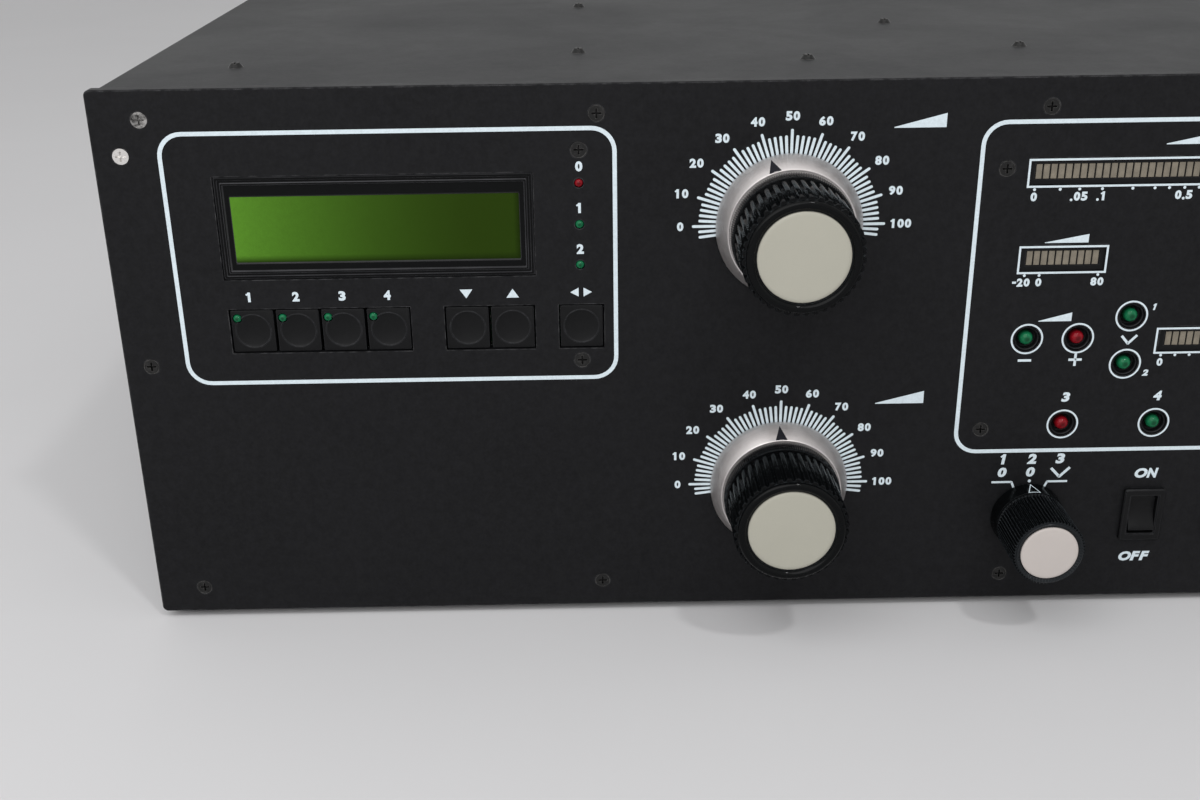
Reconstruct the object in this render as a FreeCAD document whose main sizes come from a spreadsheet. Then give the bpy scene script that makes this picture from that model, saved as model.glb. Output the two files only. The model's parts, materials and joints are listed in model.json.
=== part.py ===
"""A table-top hf linear amplifier, built as a parametric FreeCAD document.

Every place is given in panel coordinates, in millimetres: x runs right from the front panel's
left edge, y runs back from the panel's front face, and z runs up from the panel's bottom edge.
frame_point() turns them into the part's own frame: +Z up, the front towards -Y, and the origin
on the table under the middle of the part.
"""
import FreeCAD, Part
import os
import Sketcher

Vector = FreeCAD.Vector
Rotation = FreeCAD.Rotation
doc = FreeCAD.newDocument("amplifier")
sheet = doc.addObject("Spreadsheet::Sheet", "Sizes")
pieces = {}


# ---------------------------------------------------------------- sizes

class Size:
    """A number that remembers the sheet expression it comes from."""

    def __init__(self, value, text):
        self.value = value
        self.text = text

    def __add__(self, other):
        other = as_size(other)
        return Size(self.value + other.value, f"({self.text} + {other.text})")

    def __sub__(self, other):
        other = as_size(other)
        return Size(self.value - other.value, f"({self.text} - {other.text})")

    def __mul__(self, other):
        other = as_size(other)
        return Size(self.value * other.value, f"({self.text} * {other.text})")

    def __truediv__(self, other):
        other = as_size(other)
        return Size(self.value / other.value, f"({self.text} / {other.text})")

    def __neg__(self):
        return Size(-self.value, f"(0 - {self.text})")

    def __radd__(self, other):
        return as_size(other) + self

    def __rsub__(self, other):
        return as_size(other) - self

    def __rmul__(self, other):
        return as_size(other) * self


def as_size(number):
    """Plain numbers take part in sums with sizes."""
    if isinstance(number, Size):
        return number
    return Size(float(number), repr(float(number)))


def root(size):
    """The square root, as on a chord of a circle."""
    size = as_size(size)
    return Size(size.value ** 0.5, f"sqrt({size.text})")


def size(name, value, note):
    """A driving dimension: one row of the sheet."""
    size.row += 1
    sheet.set(f"A{size.row}", name)
    sheet.set(f"B{size.row}", str(value))
    sheet.setAlias(f"B{size.row}", name)
    sheet.set(f"C{size.row}", note)
    return Size(float(value), f"Sizes.{name}")


size.row = 0

# the case
panel_width = size("panel_width", 485, "front panel, left to right")
panel_height = size("panel_height", 197, "front panel, bottom to top")
panel_thickness = size("panel_thickness", 4, "front panel plate")
panel_corner = size("panel_corner", 2, "radius of the panel's four corners")
panel_chamfer = size("panel_chamfer", 0.4, "broken edge round the panel's front face")
case_depth = size("case_depth", 416, "panel's front face to the rear panel's outer face")
side_inset = size("side_inset", 2.5, "the cover's side lies in from the panel's end")
cover_gauge = size("cover_gauge", 1.5, "steel of the cover")
cover_bend = size("cover_bend", 2.5, "outer radius of the cover's two bends")
sheet_gauge = size("sheet_gauge", 2, "steel of the tray, frame, walls and rear panel")
lip_height = size("lip_height", 18, "height of the tray's turned-up lips")
lip_width = size("lip_width", 14, "width of the turned-over lips that take the cover's screws")
foot_height = size("foot_height", 3, "rubber feet lift the case off the table")
foot_radius = size("foot_radius", 11, "rubber feet")
foot_inset = size("foot_inset", 45, "foot centre from the case's side, front and back")
foot_taper = size("foot_taper", 1, "a foot's lower end is this much smaller in radius")
foot_bore = size("foot_bore", 4.4, "radius of the sunk hole in a foot")
fit_gap = size("fit_gap", 0.15, "between pieces that are fixed in each other")
slide_gap = size("slide_gap", 0.3, "round pieces that travel")
run_gap = size("run_gap", 0.05, "radial clearance of a shaft in its bearing")

# screws
screw_radius = size("screw_radius", 1.5, "M3 thread")
screw_head = size("screw_head", 2.7, "radius of every screw head")
screw_length = size("screw_length", 8, "under or with the head")
button_head_height = size("button_head_height", 1.6, "round heads on the cover")
recess_width = size("recess_width", 0.7, "each slot of the cross recess")
recess_depth = size("recess_depth", 1, "the cross recess")
panel_screw_inset = size("panel_screw_inset", 17, "outer panel screw columns from the panel's ends")
panel_screw_low = size("panel_screw_low", 10.3, "lower row of panel screws")
panel_screw_top = size("panel_screw_top", 10, "upper row, below the panel's top edge")
end_screw_inset = size("end_screw_inset", 9.3, "extra screws near the panel's ends")
end_screw_low = size("end_screw_low", 48, "lower extra screws, below the upper knob's axis")
end_screw_high = size("end_screw_high", 27, "upper extra screws, above that axis")
cover_screw_inset = size("cover_screw_inset", 41, "outer cover screws from the panel's ends")
wall_screw_left = size("wall_screw_left", 16.3, "cover screws right of the left inner wall")
wall_screw_right = size("wall_screw_right", 41.1, "cover screw right of the right inner wall")
wall_screw_near = size("wall_screw_near", 61, "front cover screws over the inner walls")
wall_screw_far = size("wall_screw_far", 124, "cover screw farther back")
inner_screw_across = size("inner_screw_across", 161.2, "screws right of the display group")
meter_reach = size("meter_reach", 180, "meter board's left screws, from the panel's right end")
meter_screw_pitch = size("meter_screw_pitch", 149, "its right screws, right of the left ones")
meter_screw_drop = size("meter_screw_drop", 77.6, "its lower screws, below the upper knob's axis")
meter_screw_rise = size("meter_screw_rise", 18.3, "its upper screws, above that axis")
recess_share = size("recess_share", 0.62, "half length of a cross recess, share of the head's radius")
head_share = size("head_share", 0.55, "flat top of a round head, share of its radius")
side_screw_inset = size("side_screw_inset", 49.92, "outer side screws, from the case's front and back")
side_screw_height = size("side_screw_height", 10.8, "side screws, through the tray's lips")
rear_screw_inset = size("rear_screw_inset", 29.1, "outer rear screws, from the panel's ends")
rear_screw_pitch = size("rear_screw_pitch", 145.5, "inner rear screws, from the left one")

# what lies behind the panel
board_depth = size("board_depth", 16, "front face of the circuit boards, behind the panel's face")
board_gauge = size("board_gauge", 1.6, "circuit boards")
boss_radius = size("boss_radius", 3.5, "spacers between the front frame and the boards")
boss_edge = size("boss_edge", 1, "frame or board left round a spacer")
boss_rise = size("boss_rise", 4, "upper spacers of the display board, above the upper extra screws")
boss_high_inset = size("boss_high_inset", 8, "its upper right spacer, left of the display group's screws")
boss_low_inset = size("boss_low_inset", 12, "its lower right spacer, left of those screws")
board_rise = size("board_rise", 4, "meter board above its upper spacers")
frame_web = size("frame_web", 5, "steel between the frame's windows and the lower screws")
rib_inset = size("rib_inset", 2, "rib between the frame's windows, over the single button's right side")
rib_width = size("rib_width", 6, "that rib")
wall_depth = size("wall_depth", 45, "inner wall that carries the capacitors and motors")
belt_depth = size("belt_depth", 33, "front of the belts and their pulleys")
wall_end_gap = size("wall_end_gap", 12, "the right inner wall ends this far before the tube deck")

# display
display_left = size("display_left", 38.4, "display cut-out, left edge")
display_drop = size("display_drop", 16.6, "display cut-out's lower edge, below the upper knob's axis")
display_width = size("display_width", 107.3, "display cut-out")
display_height = size("display_height", 36.2, "display cut-out")
window_side = size("window_side", 4.65, "display cut-out to the window, at each side")
window_end = size("window_end", 6.3, "display cut-out to the window, above and below")
window_rise = size("window_rise", 0.7, "the window's centre lies this much below the cut-out's")
bezel_rim = size("bezel_rim", 1.5, "outer rim of the display bezel")
bezel_step = size("bezel_step", 0.7, "depth of the recess inside the rim")
bezel_sink = size("bezel_sink", 0.4, "the bezel lies this far behind the panel's face")
window_sink = size("window_sink", 0.3, "the window lies this far behind the bezel's recess")

# push buttons
button_width = size("button_width", 15.2, "button cap, across")
button_height = size("button_height", 15.7, "button cap, up")
button_pitch = size("button_pitch", 15.8, "buttons side by side")
button_drop = size("button_drop", 35.4, "button centres, below the upper knob's axis")
mode_across = size("mode_across", 46.5, "first button of the group of four")
step_across = size("step_across", 121.4, "first button of the group of two")
antenna_across = size("antenna_across", 161.2, "the single button")
button_sink = size("button_sink", 0.4, "the caps lie this far behind the panel's face")
button_back = size("button_back", 6.4, "back of the caps, behind the panel's face")
button_travel = size("button_travel", 1.5, "how far a button is pressed in")
dish_radius = size("dish_radius", 5.9, "finger dish in a cap")
dish_depth = size("dish_depth", 0.8, "finger dish in a cap")
stem_radius = size("stem_radius", 2, "stem of a cap, which works the switch")
stem_length = size("stem_length", 4, "stem behind the cap")
switch_radius = size("switch_radius", 4.2, "switch under a cap")
cap_face = size("cap_face", 2.2, "thickness of a cap's face")
stem_root = size("stem_root", 1.6, "the stem begins this far behind the cap's front")
switch_lap = size("switch_lap", 1, "a switch reaches this far into its cap's hollow")
cap_light_across = size("cap_light_across", 5.2, "light left of its cap's centre")
cap_light_rise = size("cap_light_rise", 4.7, "light above its cap's centre")

# lights
small_light = size("small_light", 1.5, "radius of the 3 mm lights")
small_light_proud = size("small_light_proud", 0.7, "the 3 mm lights stand out of the face")
status_across = size("status_across", 161.1, "column of three small status lights")
status_rise = size("status_rise", 15.7, "top status light, above the upper knob's axis")
status_pitch = size("status_pitch", 14.3, "status lights, one above the other")
ring_light = size("ring_light", 2.5, "radius of the 5 mm lights")
ring_light_sink = size("ring_light_sink", 0.8, "the 5 mm lights end behind the face")
ring_hole = size("ring_hole", 4.7, "radius of the hole round a 5 mm light")
grid_light_offset = size("grid_light_offset", 13.1, "first of two lights, right of the board's left screws")
grid_light_pitch = size("grid_light_pitch", 18, "second light, right of it")
grid_light_drop = size("grid_light_drop", 42.9, "those two lights, below the upper knob's axis")
guide_light_offset = size("guide_light_offset", 49.1, "two lights in a column, right of those screws")
guide_light_drop = size("guide_light_drop", 52.9, "lower one of them, below the upper knob's axis")
guide_light_pitch = size("guide_light_pitch", 18, "upper one, above it")
state_light_offset = size("state_light_offset", 29.5, "lower row of lights, right of those screws")
state_light_pitch = size("state_light_pitch", 33.1, "lower row of lights")
state_light_drop = size("state_light_drop", 76, "lower row, below the upper knob's axis")

# light bars
bar_segment = size("bar_segment", 2.54, "pitch of the segments of every light bar")
bar_height = size("bar_height", 5, "segments, bottom to top")
bar_rim = size("bar_rim", 2.1, "black rim round the segments")
bar_sink = size("bar_sink", 0.8, "the bars lie this far behind the face")
power_bar_offset = size("power_bar_offset", 9.8, "long power bar, right of the board's left screws")
power_bar_rise = size("power_bar_rise", 14.5, "bottom of its segments, above the upper knob's axis")
power_bar_count = size("power_bar_count", 50, "segments of the long power bar")
screen_bar_offset = size("screen_bar_offset", 9.8, "short bar, right of those screws")
screen_bar_drop = size("screen_bar_drop", 15.9, "bottom of its segments, below the upper knob's axis")
screen_bar_count = size("screen_bar_count", 10, "segments of the short bar")
plate_bar_offset = size("plate_bar_offset", 62.3, "right bar, right of those screws")
plate_bar_drop = size("plate_bar_drop", 46.3, "bottom of its segments, below the upper knob's axis")
plate_bar_count = size("plate_bar_count", 30, "segments of the right bar")
segment_edge = size("segment_edge", 0.45, "black web each side of a segment")
segment_sink = size("segment_sink", 0.5, "segments lie this far behind the bar's front")

# the two large knobs
dial_offset = size("dial_offset", 10.3, "both large knobs, left of the panel's middle")
tune_drop = size("tune_drop", 49, "upper large knob, below the panel's top edge")
load_height = size("load_height", 50.2, "lower large knob")
skirt_radius = size("skirt_radius", 24.9, "aluminium skirt under the grip")
skirt_top_radius = size("skirt_top_radius", 21.1, "the skirt's front edge")
skirt_edge = size("skirt_edge", 3, "height of the skirt's straight rim")
skirt_top = size("skirt_top", 10, "height of the skirt's front face")
collar_radius = size("collar_radius", 20.5, "finely knurled collar of the grip")
collar_top = size("collar_top", 15, "front of the collar")
grip_radius = size("grip_radius", 20.1, "fluted grip")
grip_top = size("grip_top", 37.1, "front of the flutes")
flute_count = size("flute_count", 40, "flutes round the large grip")
flute_radius = size("flute_radius", 1, "each flute")
nose_radius = size("nose_radius", 18.8, "smooth front ring of the grip")
knob_height = size("knob_height", 38.5, "the knobs' front faces stand this far out of the panel")
cap_radius = size("cap_radius", 15.2, "pale cap in the grip's front")
cap_sink = size("cap_sink", 0.6, "the cap lies this far behind the ring")
cap_gauge = size("cap_gauge", 1.5, "thickness of the cap")
nose_step = size("nose_step", 1, "slope between the flutes and the smooth ring")
nose_edge = size("nose_edge", 0.6, "broken outer edge of the smooth ring")
knob_bevel = size("knob_bevel", 0.4, "broken edges of the ring's inside and of the cap")
hub_floor = size("hub_floor", 3, "solid part of the grip between the cap and the shaft's end")
flute_share = size("flute_share", 0.35, "a flute's centre outside the grip, share of the flute's radius")
overshoot = size("overshoot", 2, "cutters start this far outside what they cut")
shaft_radius = size("shaft_radius", 3, "6 mm shafts")
knob_gap = size("knob_gap", 0.5, "knobs run this far off the panel")
tune_rest = size("tune_rest", -17.1, "angle of the upper knob at rest, from pointing up")
load_rest = size("load_rest", -1.8, "angle of the lower knob at rest, from pointing up")

# selector knob
selector_offset = size("selector_offset", 20, "selector knob, right of the meter board's left screws")
selector_height = size("selector_height", 35.3, "selector knob")
selector_base = size("selector_base", 13.6, "radius of the selector's skirt")
selector_base_top = size("selector_base_top", 8, "height of the selector's skirt")
selector_grip = size("selector_grip", 12.8, "radius of its fluted part, at the back")
selector_nose = size("selector_nose", 12.2, "radius of its fluted part, at the front")
selector_top = size("selector_top", 30, "the selector stands this far out of the panel")
selector_cap = size("selector_cap", 10.3, "radius of its pale cap")
selector_flutes = size("selector_flutes", 64, "flutes round the selector")
selector_flute = size("selector_flute", 0.4, "radius of each of them")
selector_body = size("selector_body", 13, "radius of the rotary switch")
selector_depth = size("selector_depth", 20, "rotary switch behind the frame")
selector_hollow = size("selector_hollow", 5.5, "room for the nut inside the knob's foot")
spindle_reach = size("spindle_reach", 10, "selector spindle behind the panel's face")
nut_height = size("nut_height", 2.5, "nut of the rotary switch")
bush_reach = size("bush_reach", 3.5, "bush in front of the panel's face")
bush_radius = size("bush_radius", 4.6, "threaded bush of the rotary switch")
nut_radius = size("nut_radius", 6.2, "nuts, across the corners' half")
nut_room = size("nut_room", 1.5, "room round the nut inside the knob's foot")
selector_draft = size("selector_draft", 0.3, "the selector's skirt narrows this much")
selector_step = size("selector_step", 2, "its flutes begin this far in front of the skirt")
selector_edge = size("selector_edge", 0.8, "broken front edge of the selector")
selector_slope = size("selector_slope", 1, "length of that edge")
spindle_room = size("spindle_room", 1.5, "behind the spindle's end")

# rocker switches
rocker_offset = size("rocker_offset", 63, "first rocker switch, right of those screws")
rocker_pitch = size("rocker_pitch", 32, "second rocker switch, right of it")
rocker_line = size("rocker_line", 35.2, "height of both rockers' centres")
rocker_flange_width = size("rocker_flange_width", 15, "flange of a rocker housing")
rocker_flange_height = size("rocker_flange_height", 21, "flange of a rocker housing")
rocker_flange_gauge = size("rocker_flange_gauge", 2, "the flange stands out of the face")
rocker_body_width = size("rocker_body_width", 12.6, "housing in the panel's cut-out")
rocker_body_height = size("rocker_body_height", 18.8, "housing in the panel's cut-out")
rocker_body_depth = size("rocker_body_depth", 18, "housing behind the panel's face")
rocker_width = size("rocker_width", 9.4, "the rocker itself")
rocker_height = size("rocker_height", 15.4, "the rocker itself")
rocker_tilt = size("rocker_tilt", 10, "tilt to each side, in degrees")
rocker_room = size("rocker_room", 0.9, "above and below a rocker in its housing")
rocker_axle = size("rocker_axle", 1, "radius of a rocker's axle")
rocker_axle_depth = size("rocker_axle_depth", 2, "axle behind the panel's face")
rocker_peak = size("rocker_peak", 3.9, "rocker's two ends in front of its axle")
rocker_valley = size("rocker_valley", 2.8, "rocker's middle in front of its axle")
rocker_back = size("rocker_back", 5, "rocker behind its axle")
rocker_dip = size("rocker_dip", 0.3, "rocker's face between its middle and its ends, in front of the middle")
rocker_bevel = size("rocker_bevel", 0.4, "broken upper and lower edge of a rocker")
rocker_shoulder = size("rocker_shoulder", 0.6, "that edge, behind the rocker's front")
rocker_tail = size("rocker_tail", 2.695, "half the height of a rocker's back")
rocker_floor = size("rocker_floor", 3, "floor of a rocker's housing")
axle_end = size("axle_end", 1, "an axle reaches this far into its housing")

# variable capacitors, their motors and belts
plate_side = size("plate_side", 36, "half the side of a capacitor's end plates")
plate_gauge = size("plate_gauge", 4, "end plates")
vane_radius = size("vane_radius", 30, "rotor vanes")
vane_gauge = size("vane_gauge", 1, "vanes of rotor and stator")
vane_clear = size("vane_clear", 8, "stator vanes begin this far above the shaft")
tune_vanes = size("tune_vanes", 12, "vanes of the upper capacitor")
tune_vane_pitch = size("tune_vane_pitch", 8, "wide spacing for the high voltage")
load_vanes = size("load_vanes", 22, "vanes of the lower capacitor")
load_vane_pitch = size("load_vane_pitch", 5.6, "closer spacing")
pillar_length = size("pillar_length", 13, "capacitors stand this far behind the inner wall")
rod_radius = size("rod_radius", 2.5, "tie rods and stator bars")
rod_edge = size("rod_edge", 1, "tie rods to the edge of their end plates")
shaft_tail = size("shaft_tail", 4, "capacitor shafts behind their last plate")
motor_side = size("motor_side", 42, "stepper motors, square")
motor_length = size("motor_length", 34, "stepper motors")
motor_boss = size("motor_boss", 11, "radius of a motor's locating boss")
motor_shaft = size("motor_shaft", 2.5, "radius of a motor's shaft")
motor_gap = size("motor_gap", 3, "between a motor and the capacitor beside it")
pulley_radius = size("pulley_radius", 16, "pulley on a capacitor shaft")
pinion_radius = size("pinion_radius", 8, "pulley on a motor shaft")
belt_width = size("belt_width", 6, "drive belts")
belt_gauge = size("belt_gauge", 1.1, "drive belts")
flange_gauge = size("flange_gauge", 1, "pulley flanges")

# power tube, blower and fan
tube_offset = size("tube_offset", 88, "power tube, right of the deck's left edge")
tube_depth = size("tube_depth", 305, "power tube")
deck_width = size("deck_width", 174, "tube deck")
deck_gap = size("deck_gap", 7, "tube deck to the cover's side")
deck_front = size("deck_front", 210, "tube deck, front edge")
deck_back = size("deck_back", 405, "tube deck, back edge")
deck_height = size("deck_height", 60, "top face of the tube deck")
socket_radius = size("socket_radius", 40, "tube socket")
socket_depth = size("socket_depth", 12, "tube socket under the deck's top face")
socket_height = size("socket_height", 14, "tube socket, bottom to top")
socket_well = size("socket_well", 14, "radius of the hole through the socket")
socket_rim = size("socket_rim", 4, "width of the socket's rim on the deck")
socket_rim_gauge = size("socket_rim_gauge", 3, "that rim")
tube_sink = size("tube_sink", 6, "the tube stands this deep in its socket")
tube_base = size("tube_base", 30, "radius of the tube's base")
tube_base_height = size("tube_base_height", 16, "the tube's base")
screen_radius = size("screen_radius", 36, "screen contact ring of the tube")
screen_gauge = size("screen_gauge", 5, "that ring")
ceramic_radius = size("ceramic_radius", 31, "ceramic body of the tube")
ceramic_height = size("ceramic_height", 16, "ceramic body of the tube")
anode_radius = size("anode_radius", 43, "finned cooler of the tube")
anode_fins = size("anode_fins", 30, "slots between the cooler's fins")
anode_height = size("anode_height", 58, "finned cooler of the tube")
fin_root = size("fin_root", 24, "radius of the cooler's solid middle")
fin_slot = size("fin_slot", 3, "width of a slot between two fins")
fin_rim = size("fin_rim", 2, "ring outside the slots")
crown_radius = size("crown_radius", 20, "top of the tube")
crown_height = size("crown_height", 6, "top of the tube")
chimney_radius = size("chimney_radius", 49, "chimney round the tube, outside")
chimney_gauge = size("chimney_gauge", 2.5, "wall of the chimney")
chimney_gap = size("chimney_gap", 20.5, "chimney to the cover's top")
blower_offset = size("blower_offset", 60, "blower axis, left of the tube deck")
blower_height = size("blower_height", 54, "blower axis")
blower_front = size("blower_front", 290, "front face of the blower")
blower_radius = size("blower_radius", 46, "scroll housing")
blower_width = size("blower_width", 50, "scroll housing, front to back")
blower_wall = size("blower_wall", 2, "scroll housing wall")
wheel_radius = size("wheel_radius", 36, "blower wheel")
wheel_blades = size("wheel_blades", 24, "blades of the blower wheel")
wheel_gap = size("wheel_gap", 3, "wheel to the housing, front and back")
wheel_disc = size("wheel_disc", 2, "back disc and front ring of the wheel")
wheel_ring = size("wheel_ring", 6, "width of the front ring")
wheel_hub = size("wheel_hub", 8, "radius of the wheel's hub")
wheel_hub_length = size("wheel_hub_length", 14, "the wheel's hub")
wheel_tail = size("wheel_tail", 2, "the wheel's spindle behind the housing")
blade_depth = size("blade_depth", 5, "a blade of the wheel, inwards")
blade_gauge = size("blade_gauge", 1.2, "a blade of the wheel")
blade_inset = size("blade_inset", 5.5, "inner edge of a blade, from the wheel's rim")
intake_radius = size("intake_radius", 25.2, "the blower's intake")
blower_foot = size("blower_foot", 20, "half the width of the blower's foot")
blower_foot_lap = size("blower_foot_lap", 3, "the foot reaches this far into the housing")
duct_height = size("duct_height", 34, "blower outlet")
fan_height = size("fan_height", 118, "exhaust fan axis")
fan_side = size("fan_side", 92, "exhaust fan, square")
fan_gauge = size("fan_gauge", 25, "exhaust fan, front to back")
fan_bore = size("fan_bore", 43, "radius of the fan's duct")
fan_hub = size("fan_hub", 18, "radius of the fan's hub")
fan_blades = size("fan_blades", 7, "blades of the fan")
fan_arm = size("fan_arm", 3, "gauge of the arms that carry the fan's motor")
fan_arm_width = size("fan_arm_width", 4, "those arms")
fan_arm_lap = size("fan_arm_lap", 1, "the arms end this far inside the frame's edge")
fan_run = size("fan_run", 0.5, "between the arms and the hub")
fan_blade_gauge = size("fan_blade_gauge", 2, "a blade of the fan")
fan_blade_height = size("fan_blade_height", 24, "a blade of the fan")
fan_blade_turn = size("fan_blade_turn", 35, "slant of the fan's blades, in degrees")
fan_blade_lap = size("fan_blade_lap", 2, "a blade reaches this far into the hub")
fan_tip_gap = size("fan_tip_gap", 1, "blade tips to the duct")
fan_blade_shift = size("fan_blade_shift", 0.8, "the blades lie this far behind the fan's middle")
vent_slot = size("vent_slot", 3.6, "height or width of every vent slot")
vent_pitch = size("vent_pitch", 7.2, "vent slots, one to the next")
cover_vents = size("cover_vents", 13, "vent slots over the tube")
fan_vents = size("fan_vents", 11, "vent slots of the fan's grille")

# tank circuit and power supply
coil_offset = size("coil_offset", 13, "tank coil's left end, right of the band switch's plate")
coil_turns = size("coil_turns", 9, "turns of the tank coil")
coil_pitch = size("coil_pitch", 11, "turn to turn")
coil_radius = size("coil_radius", 34, "tank coil, to the middle of its tube")
coil_tube = size("coil_tube", 2.5, "radius of the coil's copper tube")
coil_depth = size("coil_depth", 130, "tank coil axis")
coil_height = size("coil_height", 138, "tank coil axis")
coil_post = size("coil_post", 7, "radius of the ceramic posts under the coil")
coil_bar = size("coil_bar", 5, "ceramic bar under the coil")
coil_post_gap = size("coil_post_gap", 3, "ceramic posts to the band switch's wafers")
band_height = size("band_height", 46, "band switch axis")
band_gap = size("band_gap", 13.8, "right inner wall to the band switch's motor")
band_wafer = size("band_wafer", 27, "radius of a wafer")
band_hole = size("band_hole", 15, "radius of the hole in a wafer")
band_wafers = size("band_wafers", 3, "wafers of the band switch")
band_pitch = size("band_pitch", 30, "wafer to wafer")
band_first = size("band_first", 24, "first wafer, right of the mounting plate's left face")
wafer_gauge = size("wafer_gauge", 3, "a wafer")
band_rod = size("band_rod", 2, "radius of the rods that carry the wafers")
band_rod_offset = size("band_rod_offset", 6, "those rods, outside the wafers' holes")
band_disc_gap = size("band_disc_gap", 4, "turning discs to the wafers' holes")
finger_gap = size("finger_gap", 0.5, "contact finger to the wafer, and within the wafer's faces")
finger_width = size("finger_width", 4, "contact finger")
transformer_depth = size("transformer_depth", 300, "ring transformer axis")
transformer_gap = size("transformer_gap", 8.6, "ring transformer to the wall at each side")
transformer_bore = size("transformer_bore", 22, "hole through the ring")
transformer_height = size("transformer_height", 78, "ring transformer")
transformer_round = size("transformer_round", 12, "rounding of the wound ring")
washer_gauge = size("washer_gauge", 2, "washer on the ring")
core_bolt = size("core_bolt", 4, "radius of the bolt through the ring")
core_bolt_rise = size("core_bolt_rise", 8, "that bolt, above the ring")
can_gap = size("can_gap", 5, "between two filter capacitors")
can_height = size("can_height", 82, "filter capacitors")
can_margin = size("can_margin", 10.6, "filter capacitors to the wall at each side")
can_front = size("can_front", 90, "first row of filter capacitors")
terminal_offset = size("terminal_offset", 6, "screw terminals from a filter capacitor's middle")
terminal_radius = size("terminal_radius", 3.5, "screw terminals")
terminal_height = size("terminal_height", 5, "screw terminals")

# rear connectors
connector_height = size("connector_height", 150, "row of coaxial sockets")
connector_first = size("connector_first", 185, "first coaxial socket")
connector_pitch = size("connector_pitch", 55, "coaxial sockets")
connector_radius = size("connector_radius", 7.9, "thread of a coaxial socket, outside")
connector_reach = size("connector_reach", 18, "thread of a coaxial socket, length")
connector_flange = size("connector_flange", 25.4, "square flange of a coaxial socket")
connector_flange_gauge = size("connector_flange_gauge", 2, "that flange")
connector_tail = size("connector_tail", 12, "a coaxial socket in front of the rear panel")
tail_step = size("tail_step", 2, "that part's radius, less than the thread's")
mouth_floor = size("mouth_floor", 4, "floor of the socket's mouth, behind its flange")
mouth_radius = size("mouth_radius", 5.8, "the socket's mouth")
contact_radius = size("contact_radius", 3, "insulated contact in the mouth")
contact_sink = size("contact_sink", 2, "the contact ends this far inside the mouth")
pin_hole_start = size("pin_hole_start", 6, "hole in the contact, behind the rear panel")
pin_hole_radius = size("pin_hole_radius", 1.9, "hole in the contact")
inlet_clear = size("inlet_clear", 0.5, "mains inlet above the tray's lip")
inlet_width = size("inlet_width", 34, "mains inlet body")
inlet_rise = size("inlet_rise", 27, "mains inlet body")
inlet_depth = size("inlet_depth", 26, "mains inlet body, behind its flange")
inlet_cavity_width = size("inlet_cavity_width", 29, "inside of the inlet")
inlet_cavity_rise = size("inlet_cavity_rise", 22, "inside of the inlet")
inlet_cavity_depth = size("inlet_cavity_depth", 19, "inside of the inlet")
inlet_flange = size("inlet_flange", 2.5, "gauge of the inlet's flange")
inlet_flange_side = size("inlet_flange_side", 8, "that flange, past the body at each side")
inlet_flange_end = size("inlet_flange_end", 1.5, "that flange, past the body above and below")
blade_pitch = size("blade_pitch", 8, "contact blades of the inlet, one to the next")
blade_width = size("blade_width", 2, "contact blades of the inlet, across")
blade_height = size("blade_height", 8, "contact blades of the inlet, bottom to top")
blade_sink = size("blade_sink", 3, "they end this far in front of the rear panel's face")
stud_across = size("stud_across", 250, "ground stud")
stud_height = size("stud_height", 30, "ground stud")
stud_radius = size("stud_radius", 3, "M6 ground stud")
stud_tail = size("stud_tail", 6, "ground stud in front of the rear panel")
stud_washer = size("stud_washer", 7, "radius of its washer")
stud_washer_gauge = size("stud_washer_gauge", 1, "its washer")
stud_nut = size("stud_nut", 5.8, "its nuts, across the corners' half")
stud_nut_height = size("stud_nut_height", 4, "its nuts")
rear_reach = size("rear_reach", 24, "the ground stud reaches this far behind the rear panel")

# places that follow from the sizes above
cover_left = side_inset
cover_right = panel_width - side_inset
inner_left = cover_left + cover_gauge
inner_right = cover_right - cover_gauge
inner_top = panel_height - cover_gauge
frame_back = panel_thickness + sheet_gauge
rear_inner = case_depth - sheet_gauge
wall_back = wall_depth + sheet_gauge
board_back = board_depth + board_gauge
tune_height = panel_height - tune_drop
panel_screw_high = panel_height - panel_screw_top
end_low = tune_height - end_screw_low
end_high = tune_height + end_screw_high
meter_screw_left = panel_width - meter_reach
meter_screw_right = meter_screw_left + meter_screw_pitch
meter_screw_low = tune_height - meter_screw_drop
meter_screw_high = tune_height + meter_screw_rise
display_low = tune_height - display_drop
window_width = display_width - 2 * window_side
window_height = display_height - 2 * window_end
button_line = tune_height - button_drop
status_high = tune_height + status_rise
grid_light_across = meter_screw_left + grid_light_offset
grid_light_line = tune_height - grid_light_drop
guide_light_across = meter_screw_left + guide_light_offset
guide_light_low = tune_height - guide_light_drop
state_light_across = meter_screw_left + state_light_offset
state_light_line = tune_height - state_light_drop
dial_across = panel_width / 2 - dial_offset
selector_across = meter_screw_left + selector_offset
rocker_across = meter_screw_left + rocker_offset
motor_offset = plate_side + motor_side / 2 + motor_gap
left_wall = dial_across - motor_offset - motor_side / 2 - 2 * motor_gap
right_wall = dial_across + plate_side + lip_width
supply_middle = (inner_left + left_wall) / 2
deck_right = inner_right - deck_gap
deck_left = deck_right - deck_width
tube_across = deck_left + tube_offset
chimney_height = inner_top - deck_height - chimney_gap
blower_across = deck_left - blower_offset
band_left = right_wall + sheet_gauge + band_gap + motor_length
coil_left = band_left + coil_offset
transformer_radius = (left_wall - inner_left) / 2 - transformer_gap
can_pitch = (left_wall - inner_left - 2 * can_margin) / 3
can_radius = (can_pitch - can_gap) / 2
can_left = inner_left + can_margin + can_pitch / 2
inlet_height = lip_height + inlet_clear + inlet_rise / 2


# ---------------------------------------------------------------- placing and primitives

def bind(item, path, value):
    """Tie one property of an object to the sheet."""
    item.setExpression(path, as_size(value).text)


def frame_point(x, y, z):
    """Panel coordinates as a point of the part's own frame."""
    face = (knob_height - case_depth - rear_reach) / 2
    return x - panel_width / 2, y + face, z + foot_height


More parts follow.
